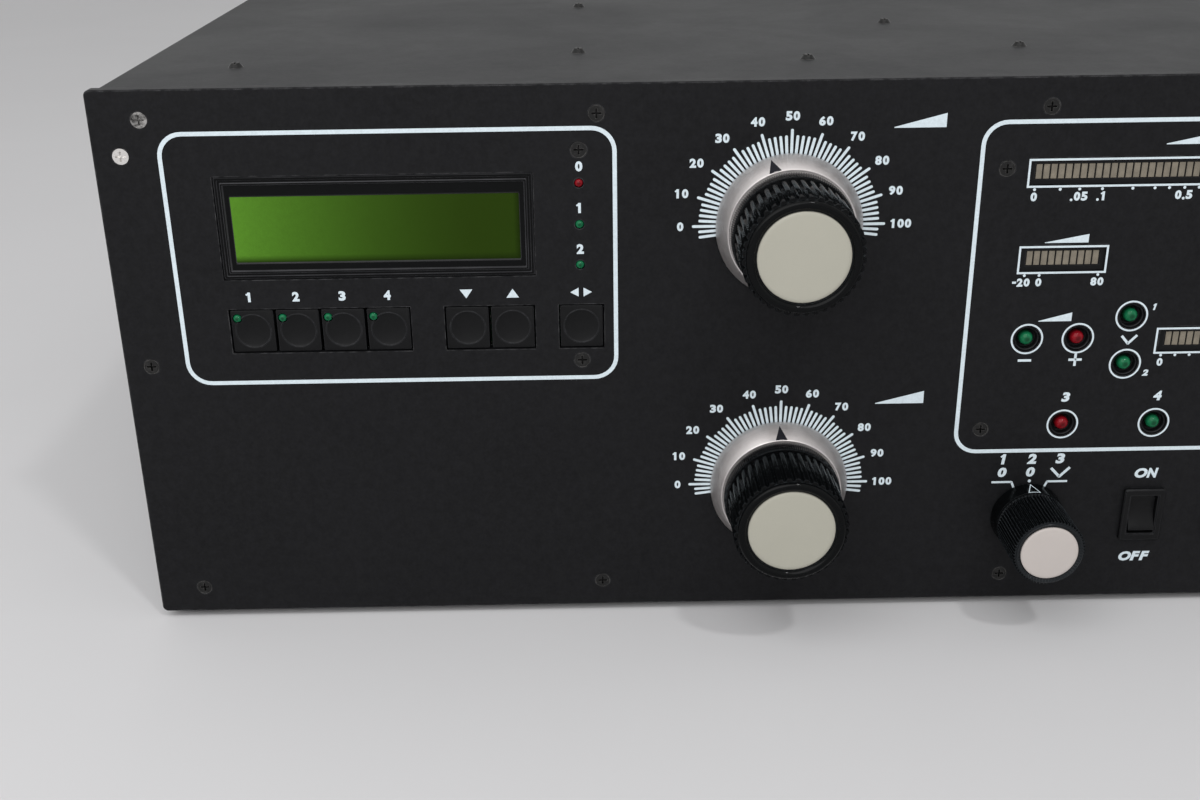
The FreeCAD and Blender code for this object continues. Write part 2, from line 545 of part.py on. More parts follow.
def place(item, x, y, z, rotation=None):
    """Put an object at a place in panel coordinates, turned or not."""
    if rotation is not None:
        item.Placement = FreeCAD.Placement(Vector(0, 0, 0), rotation)
    for letter, value in zip("xyz", frame_point(x, y, z)):
        bind(item, f"Placement.Base.{letter}", value)
    return item


def box(low, high):
    """A block between two opposite corners."""
    block = doc.addObject("Part::Box", "Block")
    for path, start, end in zip(("Length", "Width", "Height"), low, high):
        bind(block, path, end - start)
    return place(block, *low)


ALONG = {"X": Rotation(Vector(0, 1, 0), 90), "Y": Rotation(Vector(1, 0, 0), -90), "Z": Rotation()}


def rod(start, radius, length, along="Y"):
    """A cylinder from its start towards +X, +Y or +Z."""
    cylinder = doc.addObject("Part::Cylinder", "Rod")
    bind(cylinder, "Radius", radius)
    bind(cylinder, "Height", length)
    return place(cylinder, *start, ALONG[along])


def cone(start, radius, end_radius, length, along="Y"):
    """A cone or frustum from its start towards +X, +Y or +Z."""
    frustum = doc.addObject("Part::Cone", "Frustum")
    bind(frustum, "Radius1", radius)
    bind(frustum, "Radius2", end_radius)
    bind(frustum, "Height", length)
    return place(frustum, *start, ALONG[along])


def ball(centre, radius):
    """A sphere."""
    sphere = doc.addObject("Part::Sphere", "Ball")
    bind(sphere, "Radius", radius)
    return place(sphere, *centre)


def hexagon(start, radius, length):
    """A six-sided nut blank along Y."""
    prism = doc.addObject("Part::Prism", "Hexagon")
    prism.Polygon = 6
    bind(prism, "Circumradius", radius)
    bind(prism, "Height", length)
    return place(prism, *start, ALONG["Y"])


def join(*solids):
    """One solid from several that touch or overlap."""
    fused = doc.addObject("Part::MultiFuse", "Joined")
    fused.Shapes = list(solids)
    return fused


def cut(base, *tools):
    """What is left of the base outside the tools."""
    left = doc.addObject("Part::Cut", "Cut")
    left.Base = base
    left.Tool = tools[0] if len(tools) == 1 else join(*tools)
    return left


def group(*solids):
    """Separate solids kept together."""
    together = doc.addObject("Part::Compound", "Group")
    together.Links = list(solids)
    return together


def piece(name, item):
    """Name a finished piece, which is written to a file of the same name."""
    item.Label = name
    pieces[name] = item
    return item


# ---------------------------------------------------------------- sketches and features

def new_body(name, x=0, y=0, z=0):
    """A body whose own axes start at a place in panel coordinates."""
    body = doc.addObject("PartDesign::Body", name)
    place(body, x, y, z)
    return piece(name, body)


def origin_feature(body, role):
    """One of a body's own planes or axes."""
    return next(item for item in body.Origin.OriginFeatures if item.Role == role)


def new_sketch(body, role, offset=0):
    """A sketch on one of the body's own planes, moved along the plane's normal."""
    sketch = body.newObject("Sketcher::SketchObject", "Sketch")
    sketch.AttachmentSupport = (origin_feature(body, role), [""])
    sketch.MapMode = "FlatFace"
    bind(sketch, "AttachmentOffset.Base.z", offset)
    return sketch


def pin_point(sketch, element, point, across, up):
    """Hold one point of a sketch element at two sizes from the sketch's origin."""
    for kind, value, axis in (("DistanceX", across, -2), ("DistanceY", up, -1)):
        value = as_size(value)
        if value.value == 0:
            sketch.addConstraint(Sketcher.Constraint("PointOnObject", element, point, axis))
            continue
        rule = Sketcher.Constraint(kind, -1, 1, element, point, value.value)
        number = sketch.addConstraint(rule)
        sketch.setExpression(f"Constraints[{number}]", value.text)


def draw_outline(sketch, corners):
    """A closed outline of straight edges."""
    corners = [(as_size(across), as_size(up)) for across, up in corners]
    first = sketch.GeometryCount
    for index, start in enumerate(corners):
        end = corners[(index + 1) % len(corners)]
        line = Part.LineSegment(
            Vector(start[0].value, start[1].value, 0), Vector(end[0].value, end[1].value, 0))
        sketch.addGeometry(line, False)
    for index, corner in enumerate(corners):
        following = first + (index + 1) % len(corners)
        sketch.addConstraint(Sketcher.Constraint("Coincident", first + index, 2, following, 1))
        pin_point(sketch, first + index, 1, *corner)


def draw_rectangle(sketch, left, low, right, high):
    """A rectangle between two opposite corners."""
    draw_outline(sketch, [(left, low), (right, low), (right, high), (left, high)])


def draw_circle(sketch, across, up, radius):
    """A full circle."""
    across, up, radius = as_size(across), as_size(up), as_size(radius)
    circle = Part.Circle(Vector(across.value, up.value, 0), Vector(0, 0, 1), radius.value)
    number = sketch.addGeometry(circle, False)
    pin_point(sketch, number, 3, across, up)
    rule = sketch.addConstraint(Sketcher.Constraint("Radius", number, radius.value))
    sketch.setExpression(f"Constraints[{rule}]", radius.text)


def pad(body, sketch, length):
    """Thicken a sketch along its normal."""
    feature = body.newObject("PartDesign::Pad", "Pad")
    feature.Profile = sketch
    bind(feature, "Length", length)
    return feature


def pocket(body, sketch, length):
    """Cut a sketch's outlines against its normal."""
    feature = body.newObject("PartDesign::Pocket", "Pocket")
    feature.Profile = sketch
    bind(feature, "Length", length)
    return feature


def revolve(body, sketch):
    """Turn a profile round the sketch's upright axis."""
    feature = body.newObject("PartDesign::Revolution", "Revolution")
    feature.Profile = sketch
    feature.ReferenceAxis = (sketch, ["V_Axis"])
    feature.Angle = 360
    return feature


def repeat_round(body, feature, role, count):
    """Copies of a feature, evenly round one of the body's axes."""
    pattern = body.newObject("PartDesign::PolarPattern", "Round")
    pattern.Originals = [feature]
    pattern.Axis = (origin_feature(body, role), [""])
    pattern.Angle = 360
    bind(pattern, "Occurrences", count)
    body.Tip = pattern
    return pattern


# ---------------------------------------------------------------- places that repeat

def panel_screw_places():
    """Every countersunk screw of the front panel, as (across, up)."""
    pitch = (panel_width - 2 * panel_screw_inset) / 3
    places = []
    for column in range(4):
        for row in (panel_screw_low, panel_screw_high):
            places.append((panel_screw_inset + column * pitch, row))
    for row in (end_low, end_high):
        for column in (end_screw_inset, inner_screw_across, panel_width - end_screw_inset):
            places.append((column, row))
    for row in (meter_screw_low, meter_screw_high):
        for column in (meter_screw_left, meter_screw_right):
            places.append((column, row))
    return places


def button_places():
    """Name and centre of each push button, left to right."""
    rows = (("set", mode_across, 0), ("tune", mode_across, 1), ("auto", mode_across, 2),
            ("manual", mode_across, 3), ("down", step_across, 0), ("up", step_across, 1),
            ("antenna", antenna_across, 0))
    return [(name, start + step * button_pitch) for name, start, step in rows]


def ring_light_places():
    """The 5 mm lights as (colour, across, up)."""
    places = [
        ("green", grid_light_across, grid_light_line),
        ("red", grid_light_across + grid_light_pitch, grid_light_line),
        ("green", guide_light_across, guide_light_low),
        ("green", guide_light_across, guide_light_low + guide_light_pitch),
    ]
    for step, colour in enumerate(("red", "green", "green", "red")):
        places.append((colour, state_light_across + step * state_light_pitch, state_light_line))
    return places


def status_light_places():
    """The three small lights beside the display as (colour, up)."""
    return [(colour, status_high - step * status_pitch)
            for step, colour in enumerate(("red", "green", "green"))]


def bar_places():
    """The three light bars as (left, low, segments)."""
    left = meter_screw_left
    line = tune_height
    return [
        (left + power_bar_offset, line + power_bar_rise, power_bar_count),
        (left + screen_bar_offset, line - screen_bar_drop, screen_bar_count),
        (left + plate_bar_offset, line - plate_bar_drop, plate_bar_count),
    ]


def bar_outline(left, low, segments, gap):
    """The two corners of a light bar's black body, grown by a gap."""
    reach = bar_rim + gap
    right = left + segments * bar_segment
    return left - reach, low - reach, right + reach, low + bar_height + reach


def rocker_places():
    """Name and centre of each rocker switch."""
    return [("standby", rocker_across), ("power", rocker_across + rocker_pitch)]


def dial_places():
    """The two large knobs: name, height, angle at rest, vanes and their pitch."""
    return [("tune", tune_height, tune_rest, tune_vanes, tune_vane_pitch),
            ("load", load_height, load_rest, load_vanes, load_vane_pitch)]


def cover_screw_places():
    """Screws in the cover's top, as (across, depth)."""
    front = wall_back - lip_width / 2
    back = rear_inner - lip_width / 2
    row = [cover_screw_inset, panel_width / 2, panel_width - cover_screw_inset]
    walls = [(left_wall + wall_screw_left, wall_screw_near),
             (left_wall + wall_screw_left, wall_screw_far + wall_screw_near),
             (right_wall + 2 * sheet_gauge, wall_screw_far),
             (right_wall + wall_screw_right, wall_screw_near)]
    return [(x, front) for x in row] + [(x, back) for x in row] + walls


def side_screw_places():
    """Screws in the cover's sides, as (depth, up)."""
    row = (side_screw_inset, case_depth / 2, case_depth - side_screw_inset)
    return [(depth, side_screw_height) for depth in row]


# ---------------------------------------------------------------- the case

def front_panel():
    """The thick black plate with every cut-out of the front."""
    body = new_body("front_panel")
    plate = new_sketch(body, "XZ_Plane", -panel_thickness)
    draw_rectangle(plate, 0, 0, panel_width, panel_height)
    slab = pad(body, plate, panel_thickness)
    doc.recompute()
    corners = [f"Edge{number}" for number, edge in enumerate(slab.Shape.Edges, 1)
               if edge.BoundBox.YLength > panel_thickness.value / 2]
    rounded = body.newObject("PartDesign::Fillet", "Corners")
    rounded.Base = (slab, corners)
    bind(rounded, "Radius", panel_corner)
    doc.recompute()
    front = rounded.Shape.BoundBox.YMin
    rim = [f"Edge{number}" for number, edge in enumerate(rounded.Shape.Edges, 1)
           if edge.BoundBox.YMax < front + panel_thickness.value / 2]
    broken = body.newObject("PartDesign::Chamfer", "FrontEdge")
    broken.Base = (rounded, rim)
    bind(broken, "Size", panel_chamfer)

    holes = new_sketch(body, "XZ_Plane", 0)
    draw_rectangle(holes, display_left, display_low,
                   display_left + display_width, display_low + display_height)
    for start, count in ((mode_across, 4), (step_across, 2), (antenna_across, 1)):
        half_width = button_width / 2 + slide_gap
        half_height = button_height / 2 + slide_gap
        last = start + (count - 1) * button_pitch
        draw_rectangle(holes, start - half_width, button_line - half_height,
                       last + half_width, button_line + half_height)
    for left, low, segments in bar_places():
        draw_rectangle(holes, *bar_outline(left, low, segments, fit_gap))
    for name, across in rocker_places():
        half_width = rocker_body_width / 2 + fit_gap
        half_height = rocker_body_height / 2 + fit_gap
        draw_rectangle(holes, across - half_width, rocker_line - half_height,
                       across + half_width, rocker_line + half_height)
    for name, height, angle, vanes, pitch in dial_places():
        draw_circle(holes, dial_across, height, shaft_radius + slide_gap)
    draw_circle(holes, selector_across, selector_height, bush_radius + fit_gap)
    for colour, height in status_light_places():
        draw_circle(holes, status_across, height, small_light + fit_gap)
    for colour, across, up in ring_light_places():
        draw_circle(holes, across, up, ring_hole)
    pocket(body, holes, panel_thickness)
    doc.recompute()

    screws = new_sketch(body, "XZ_Plane", 0)
    for across, up in panel_screw_places():
        draw_circle(screws, across, up, screw_radius + fit_gap)
    doc.recompute()
    sunk = body.newObject("PartDesign::Hole", "ScrewHoles")
    sunk.Profile = screws
    doc.recompute()
    sunk.DepthType = "ThroughAll"
    sunk.Threaded = False
    sunk.HoleCutType = "Countersink"
    sunk.HoleCutCustomValues = True
    bind(sunk, "Diameter", 2 * (screw_radius + fit_gap))
    bind(sunk, "HoleCutDiameter", 2 * (screw_head + fit_gap))
    sunk.HoleCutCountersinkAngle = 90
    body.Tip = sunk


def cross_recess(x, y, z, along):
    """Two crossing slots in a screw's head, which faces -Y, -X, +X or +Z."""
    half = recess_width / 2
    reach = screw_head * recess_share
    deep = recess_depth
    halves = {
        "Y": ((reach, deep, half), (half, deep, reach)),
        "Z": ((reach, half, deep), (half, reach, deep)),
        "X": ((deep, reach, half), (deep, half, reach)),
    }
    return [box((x - wide, y - far, z - tall), (x + wide, y + far, z + tall))
            for wide, far, tall in halves[along[-1]]]


def panel_screws():
    """Countersunk cross-head screws, flush with the panel's face."""
    screws = []
    for x, z in panel_screw_places():
        head = cone((x, 0, z), screw_head, screw_radius, screw_head - screw_radius)
        shank = rod((x, 0, z), screw_radius, screw_length)
        screws.append(cut(join(head, shank), *cross_recess(x, 0, z, "-Y")))
    piece("panel_screws", group(*screws))


def button_screw(x, y, z, facing):
    """A round-headed screw whose head rests on the face at its place."""
    starts = {"+Z": (0, 0, 1), "-X": (-1, 0, 0), "+X": (1, 0, 0), "+Y": (0, 1, 0)}
    dx, dy, dz = starts[facing]
    along = {"+Z": "Z", "-X": "X", "+X": "X", "+Y": "Y"}[facing]
    forward = dx + dy + dz > 0
    tall = button_head_height
    long = screw_length
    if forward:
        start = (x - dx * long, y - dy * long, z - dz * long)
        shank = rod(start, screw_radius, long + tall / 2, along)
        head = cone((x, y, z), screw_head, screw_head * head_share, tall, along)
    else:
        shank = rod((x + dx * tall / 2, y, z), screw_radius, long + tall / 2, along)
        head = cone((x + dx * tall, y, z), screw_head * head_share, screw_head, tall, along)
    tip = (x + dx * tall, y + dy * tall, z + dz * tall)
    return cut(join(head, shank), *cross_recess(*tip, facing))


def case_screws():
    """Round-headed screws of the cover and the rear panel."""
    screws = [button_screw(x, y, panel_height, "+Z") for x, y in cover_screw_places()]
    for y, z in side_screw_places():
        screws.append(button_screw(cover_left, y, z, "-X"))
        screws.append(button_screw(cover_right, y, z, "+X"))
    for x, z in rear_screw_places():
        screws.append(button_screw(x, case_depth, z, "+Y"))
    piece("case_screws", group(*screws))


def rear_screw_places():
    """Screws that hold the rear panel to the tray's lip, as (across, up)."""
    row = (rear_screw_inset, rear_screw_inset + rear_screw_pitch,
           rear_screw_inset + 2 * rear_screw_pitch, panel_width - rear_screw_inset)
    return [(across, lip_height / 2) for across in row]


def screw_clearance(start, along):
    """The hole that a screw of the case passes through."""
    return rod(start, screw_radius + fit_gap, screw_length * 2, along)


def front_frame():
    """The steel frame behind the panel, with the spacers of the two boards."""
    plate = box((inner_left, panel_thickness, sheet_gauge), (inner_right, frame_back, inner_top))
    low = panel_screw_low + screw_head + frame_web
    high = end_high - screw_head
    middle_low = end_low - screw_head
    middle_high = button_line - button_height / 2 - 2 * slide_gap
    left = panel_screw_inset + screw_head * 2
    rib_left = inner_screw_across + button_width - rib_inset
    meter_left = meter_screw_left + boss_radius + boss_edge
    meter_right = meter_screw_right - boss_radius - boss_edge
    windows = [
        (left, middle_high, rib_left, high),
        (left, low, rib_left, middle_low),
        (rib_left + rib_width, low, meter_screw_left - boss_radius * 2, high),
        (meter_left, state_light_line - ring_hole * 2, meter_right, high),
        (selector_across + selector_body * 2, low, meter_right, rocker_line + rocker_flange_height),
    ]
    tools = [box((a, panel_thickness, b), (c, frame_back, d)) for a, b, c, d in windows]
    bush = (selector_across, panel_thickness, selector_height)
    tools.append(rod(bush, bush_radius + fit_gap, sheet_gauge))
    for x, z in panel_screw_places():
        tools.append(rod((x, panel_thickness, z), screw_radius + fit_gap, screw_length))
    bosses = [rod((x, frame_back, z), boss_radius, board_depth - frame_back)
              for x, z in board_boss_places()]
    piece("front_frame", cut(join(plate, *bosses), *tools))


def board_boss_places():
    """Spacers that carry the circuit boards, as (across, up)."""
    left = panel_screw_inset + screw_head
    high = end_high + boss_rise
    display = [(left, high), (inner_screw_across - boss_high_inset, high),
               (left, end_low), (inner_screw_across - boss_low_inset, end_low)]
    meter = [(x, z) for x in (meter_screw_left, meter_screw_right)
             for z in (meter_screw_low, meter_screw_high)]
    return display + meter


def chassis_tray():
    """Bottom plate with turned-up lips at both sides and at the back."""
    floor = box((inner_left, panel_thickness, 0), (inner_right, rear_inner, sheet_gauge))
    lips = [
        box((inner_left, frame_back, 0), (inner_left + sheet_gauge, rear_inner, lip_height)),
        box((inner_right - sheet_gauge, frame_back, 0), (inner_right, rear_inner, lip_height)),
        box((inner_left, rear_inner - sheet_gauge, 0), (inner_right, rear_inner, lip_height)),
    ]
    tools = []
    for y, z in side_screw_places():
        tools.append(screw_clearance((cover_left, y, z), "X"))
        tools.append(screw_clearance((inner_right - screw_length, y, z), "X"))
    for x, z in rear_screw_places():
        tools.append(screw_clearance((x, rear_inner - screw_length, z), "Y"))
    piece("chassis_tray", cut(join(floor, *lips), *tools))


def top_cover():
    """One folded sheet: the top and both sides, with vents over the tube."""
    body = new_body("top_cover")
    profile = new_sketch(body, "XZ_Plane", -rear_inner)
    draw_outline(profile, [
        (cover_left, 0), (inner_left, 0), (inner_left, inner_top), (inner_right, inner_top),
        (inner_right, 0), (cover_right, 0), (cover_right, panel_height), (cover_left, panel_height)])
    shell = pad(body, profile, rear_inner - panel_thickness)
    doc.recompute()
    top = shell.Shape.BoundBox.ZMax
    folds = []
    for number, edge in enumerate(shell.Shape.Edges, 1):
        limits = edge.BoundBox
        long_edge = limits.YLength > case_depth.value / 2
        at_top = limits.ZMin > top - cover_gauge.value / 2
        if long_edge and at_top:
            folds.append(f"Edge{number}")
    bend = body.newObject("PartDesign::Fillet", "Bends")
    bend.Base = (shell, folds)
    bind(bend, "Radius", cover_bend)
    doc.recompute()

    slots = new_sketch(body, "XY_Plane", panel_height)
    half = chimney_radius
    count = int(cover_vents.value)
    for step in range(count):
        offset = (step - (count - 1) / 2) * vent_pitch
        reach = root(half * half + vent_pitch * vent_pitch - offset * offset) if step else half / 3
        if step == count - 1:
            reach = half / 3
        draw_rectangle(slots, tube_across - reach, tube_depth + offset - vent_slot / 2,
                       tube_across + reach, tube_depth + offset + vent_slot / 2)
    pocket(body, slots, cover_gauge)
    holes = new_sketch(body, "XY_Plane", panel_height)
    for x, y in cover_screw_places():
        draw_circle(holes, x, y, screw_radius + fit_gap)
    pocket(body, holes, cover_gauge)
    for plane_at, depth in ((cover_left + cover_gauge, cover_gauge), (cover_right, cover_gauge)):
        side = new_sketch(body, "YZ_Plane", plane_at)
        for y, z in side_screw_places():
            draw_circle(side, y, z, screw_radius + fit_gap)
        body.Tip = pocket(body, side, depth)


def rear_panel():
    """Back plate with the fan's grille, the connectors' holes and a lip under the cover."""
    plate = box((cover_left, rear_inner, 0), (cover_right, case_depth, panel_height))
    lip = box((inner_left, rear_inner - lip_width, inner_top - sheet_gauge),
              (inner_right, rear_inner, inner_top))
    tools = []
    count = int(fan_vents.value)
    for step in range(count):
        offset = (step - (count - 1) / 2) * vent_pitch
        reach = root(fan_bore * fan_bore - offset * offset)
        tools.append(box((supply_middle - reach, rear_inner, fan_height + offset - vent_slot / 2),
                         (supply_middle + reach, case_depth, fan_height + offset + vent_slot / 2)))
    for step in range(3):
        x = connector_first + step * connector_pitch
        tools.append(rod((x, rear_inner, connector_height), connector_radius + fit_gap, sheet_gauge))
    tools.append(box((supply_middle - inlet_width / 2 - fit_gap, rear_inner,
                      inlet_height - inlet_rise / 2 - fit_gap),
                     (supply_middle + inlet_width / 2 + fit_gap, case_depth,
                      inlet_height + inlet_rise / 2 + fit_gap)))
    tools.append(rod((stud_across, rear_inner, stud_height), stud_radius + fit_gap, sheet_gauge))
    for x, z in rear_screw_places():
        tools.append(rod((x, rear_inner, z), screw_radius + fit_gap, sheet_gauge))
    for x, y in cover_screw_places():
        tools.append(rod((x, y, inner_top - screw_length), screw_radius + fit_gap, screw_length, "Z"))
    piece("rear_panel", cut(join(plate, lip), *tools))


def rubber_feet():
    """Four low feet, each with a sunk hole for its screw."""
    feet = []
    for x in (foot_inset, panel_width - foot_inset):
        for y in (foot_inset, case_depth - foot_inset):
            foot = cone((x, y, -foot_height), foot_radius - foot_taper, foot_radius, foot_height, "Z")
            feet.append(cut(foot, rod((x, y, -foot_height), foot_bore, foot_height / 2, "Z")))
    piece("rubber_feet", group(*feet))


def inner_walls():
    """The wall behind the controls, and the two walls that part the inside."""
    face = box((inner_left + sheet_gauge, wall_depth, sheet_gauge),
               (inner_right - sheet_gauge, wall_back, inner_top))
    top_lip = box((inner_left, wall_back - lip_width, inner_top - sheet_gauge),
                  (inner_right, wall_back, inner_top))
    low_lip = box((inner_left + sheet_gauge, wall_back - lip_width, sheet_gauge),
                  (inner_right - sheet_gauge, wall_back, 2 * sheet_gauge))
    tools = []
    for name, height, angle, vanes, pitch in dial_places():
        tools.append(rod((dial_across, wall_depth, height), shaft_radius + slide_gap, sheet_gauge))
        tools.append(rod((dial_across - motor_offset, wall_depth, height),
                         motor_boss + fit_gap, sheet_gauge))
    for x, y in cover_screw_places():
        tools.append(rod((x, y, inner_top - screw_length), screw_radius + fit_gap, screw_length, "Z"))
    piece("sub_panel", cut(join(face, top_lip, low_lip), *tools))

    walls = []
    for start, back, lip in ((left_wall, rear_inner - lip_width, 2 * lip_width),
                             (right_wall, deck_front - wall_end_gap, 4 * lip_width)):
        upright = box((start, wall_back, sheet_gauge), (start + sheet_gauge, back, inner_top))
        over = box((start, wall_back, inner_top - sheet_gauge), (start + lip, back, inner_top))
        under = box((start, wall_back, sheet_gauge), (start + lip_width, back, 2 * sheet_gauge))
        holes = [rod((x, y, inner_top - screw_length), screw_radius + fit_gap, screw_length, "Z")
                 for x, y in cover_screw_places()]
        walls.append(cut(join(upright, over, under), *holes))
    piece("partition_walls", group(*walls))


# ---------------------------------------------------------------- display, buttons, lights

def display():
    """Bezel and window of the display."""
    right = display_left + display_width - fit_gap
    high = display_low + display_height - fit_gap
    left = display_left + fit_gap
    low = display_low + fit_gap
    middle_x = display_left + display_width / 2
    middle_z = display_low + display_height / 2 - window_rise
    block = box((left, bezel_sink, low), (right, board_depth, high))
    recess = box((left + bezel_rim, bezel_sink, low + bezel_rim),
                 (right - bezel_rim, bezel_sink + bezel_step, high - bezel_rim))
    opening = box((middle_x - window_width / 2, bezel_sink, middle_z - window_height / 2),
                  (middle_x + window_width / 2, board_depth, middle_z + window_height / 2))
    piece("display_bezel", cut(block, recess, opening))
    inset = fit_gap
    pane_front = bezel_sink + bezel_step + window_sink
    piece("display_window", box(
        (middle_x - window_width / 2 + inset, pane_front, middle_z - window_height / 2 + inset),
        (middle_x + window_width / 2 - inset, board_depth, middle_z + window_height / 2 - inset)))


def circuit_boards():
    """The display board and the meter board, on the frame's spacers."""
    reach = boss_radius + boss_edge
    display_board = box(
        (panel_screw_inset + screw_head - reach, board_depth, end_low - reach),
        (antenna_across + button_width / 2, board_back, end_high + boss_rise + reach))
    meter_board = box((meter_screw_left - reach, board_depth, meter_screw_low - reach),
                      (meter_screw_right + reach, board_back, meter_screw_high + reach + board_rise))
    piece("circuit_boards", group(display_board, meter_board))


def push_buttons():
    """Seven sprung caps and the switches under them."""
    switches = []
    for name, x in button_places():
        front, back, z = button_sink, button_back, button_line
        half_width = button_width / 2
        half_height = button_height / 2
        block = box((x - half_width, front, z - half_height), (x + half_width, back, z + half_height))
        bowl = (dish_radius * dish_radius + dish_depth * dish_depth) / (2 * dish_depth)
        dish = ball((x, front + dish_depth - bowl, z), bowl)
        hollow = rod((x, front + cap_face, z), switch_radius + 2 * slide_gap, back - front - cap_face)
        tools = [dish, hollow]
        if name in ("set", "tune", "auto", "manual"):
            light = (x - cap_light_across, front, z + cap_light_rise)
            tools.append(rod(light, small_light + slide_gap, back - front))
        stem = rod((x, front + stem_root, z), stem_radius, back + stem_length - front - stem_root)
        piece(f"{name}_button", join(cut(block, *tools), stem))
        switch_front = back + button_travel + slide_gap - switch_lap
        case = rod((x, switch_front, z), switch_radius, board_depth - switch_front)
        well = rod((x, switch_front, z), stem_radius + slide_gap, stem_length + button_travel)
        switches.append(cut(case, well))
    piece("button_switches", group(*switches))


def light(x, z, radius, tip):
    """A round-nosed light that stands on its board."""
    stem = rod((x, tip + radius, z), radius, board_depth - tip - radius)
    return join(ball((x, tip + radius, z), radius), stem)


def lights():
    """Green and red lights: in the caps, beside the display and on the meter board."""
    groups = {"green": [], "red": []}
    for name, x in button_places()[:4]:
        groups["green"].append(light(x - cap_light_across, button_line + cap_light_rise,
                                     small_light, button_sink - small_light_proud))
    for colour, z in status_light_places():
        groups[colour].append(light(status_across, z, small_light, -small_light_proud))
    for colour, x, z in ring_light_places():
        groups[colour].append(light(x, z, ring_light, ring_light_sink))
    for colour, solids in groups.items():
        piece(f"{colour}_lights", group(*solids))


def light_bars():
    """Three light bars, sunk a little behind the panel's face."""
    bars = []
    for left, low, segments in bar_places():
        x0, z0, x1, z1 = bar_outline(left, low, segments, 0)
        body = box((x0, bar_sink, z0), (x1, board_depth, z1))
        slots = []
        for step in range(int(segments.value)):
            start = left + step * bar_segment
            slots.append(box(
                (start + segment_edge, bar_sink, low),
                (start + bar_segment - segment_edge, bar_sink + segment_sink, low + bar_height)))
        bars.append(cut(body, *slots))
    piece("light_bars", group(*bars))


# ---------------------------------------------------------------- knobs

def large_knob(name, height, rest):
    """Skirt, fluted grip and cap of one large knob, turned to where it points at rest."""
    turn = Rotation(Vector(0, 1, 0), rest.value)

    def part_of_knob(label):
        body = new_body(label)
        place(body, dial_across, 0, height, turn)
        return body

    bore = shaft_radius
    skirt = part_of_knob(f"{name}_knob_skirt")
    profile = new_sketch(skirt, "XY_Plane")
    draw_outline(profile, [
        (bore + fit_gap, -knob_gap), (skirt_radius, -knob_gap), (skirt_radius, -skirt_edge),
        (skirt_top_radius, -skirt_top), (bore + fit_gap, -skirt_top)])
    revolve(skirt, profile)

    grip = part_of_knob(f"{name}_knob_grip")
    profile = new_sketch(grip, "XY_Plane")
    cap_front = knob_height - cap_sink
    cap_floor = cap_front - cap_gauge
    draw_outline(profile, [
        (bore + fit_gap, -skirt_top), (collar_radius, -skirt_top), (collar_radius, -collar_top),
        (grip_radius, -collar_top), (grip_radius, -grip_top), (nose_radius, -(grip_top + nose_step)),
        (nose_radius - nose_edge, -knob_height),
        (cap_radius + fit_gap + knob_bevel, -knob_height),
        (cap_radius + fit_gap, -cap_front), (cap_radius + fit_gap, -cap_floor),
        (0, -cap_floor), (0, -(cap_floor - hub_floor)), (bore + fit_gap, -(cap_floor - hub_floor))])
    revolve(grip, profile)
    flute = new_sketch(grip, "XZ_Plane", grip_top + overshoot)
    draw_circle(flute, grip_radius + flute_radius * flute_share, 0, flute_radius)
    groove = pocket(grip, flute, grip_top + overshoot - collar_top)
    repeat_round(grip, groove, "Y_Axis", flute_count)

    disc = part_of_knob(f"{name}_knob_cap")
    profile = new_sketch(disc, "XY_Plane")
    draw_outline(profile, [
        (0, -cap_floor), (cap_radius, -cap_floor), (cap_radius, -(cap_front - knob_bevel)),
        (cap_radius - knob_bevel, -cap_front), (0, -cap_front)])
    revolve(disc, profile)


def selector():
    """Selector knob with its spindle, its cap, and the rotary switch behind the panel."""
    x, z = selector_across, selector_height
    knob = new_body("selector_knob", x, 0, z)
    profile = new_sketch(knob, "XY_Plane")
    cap_floor = selector_top - cap_gauge
    hollow = nut_radius + nut_room
    hollow_top = selector_hollow
    draw_outline(profile, [
        (hollow, -knob_gap), (selector_base, -knob_gap),
        (selector_base - selector_draft, -selector_base_top),
        (selector_grip, -selector_base_top), (selector_nose, -(selector_top - selector_slope)),
        (selector_nose - selector_edge, -selector_top), (selector_cap + fit_gap, -selector_top),
        (selector_cap + fit_gap, -cap_floor), (0, -cap_floor), (0, spindle_reach),
        (shaft_radius, spindle_reach), (shaft_radius, -hollow_top), (hollow, -hollow_top)])
    revolve(knob, profile)
    flute = new_sketch(knob, "XZ_Plane", selector_top + overshoot)
    draw_circle(flute, selector_nose + selector_flute * flute_share, 0, selector_flute)
    groove = pocket(knob, flute, selector_top + overshoot - selector_base_top - selector_step)
    repeat_round(knob, groove, "Y_Axis", selector_flutes)

    disc = new_body("selector_knob_cap", x, 0, z)
    profile = new_sketch(disc, "XY_Plane")
    draw_outline(profile, [(0, -cap_floor), (selector_cap, -cap_floor),
                           (selector_cap, -(selector_top - knob_bevel)),
                           (selector_cap - knob_bevel, -selector_top), (0, -selector_top)])
    revolve(disc, profile)

    bush = rod((x, -bush_reach, z), bush_radius, frame_back + bush_reach)
    nut = hexagon((x, -nut_height, z), nut_radius, nut_height)
    body = rod((x, frame_back, z), selector_body, selector_depth)
    bearing = rod((x, -bush_reach, z), shaft_radius + run_gap, bush_reach + spindle_reach + spindle_room)
    piece("selector_switch", cut(join(bush, nut, body), bearing))


# ---------------------------------------------------------------- rocker switches

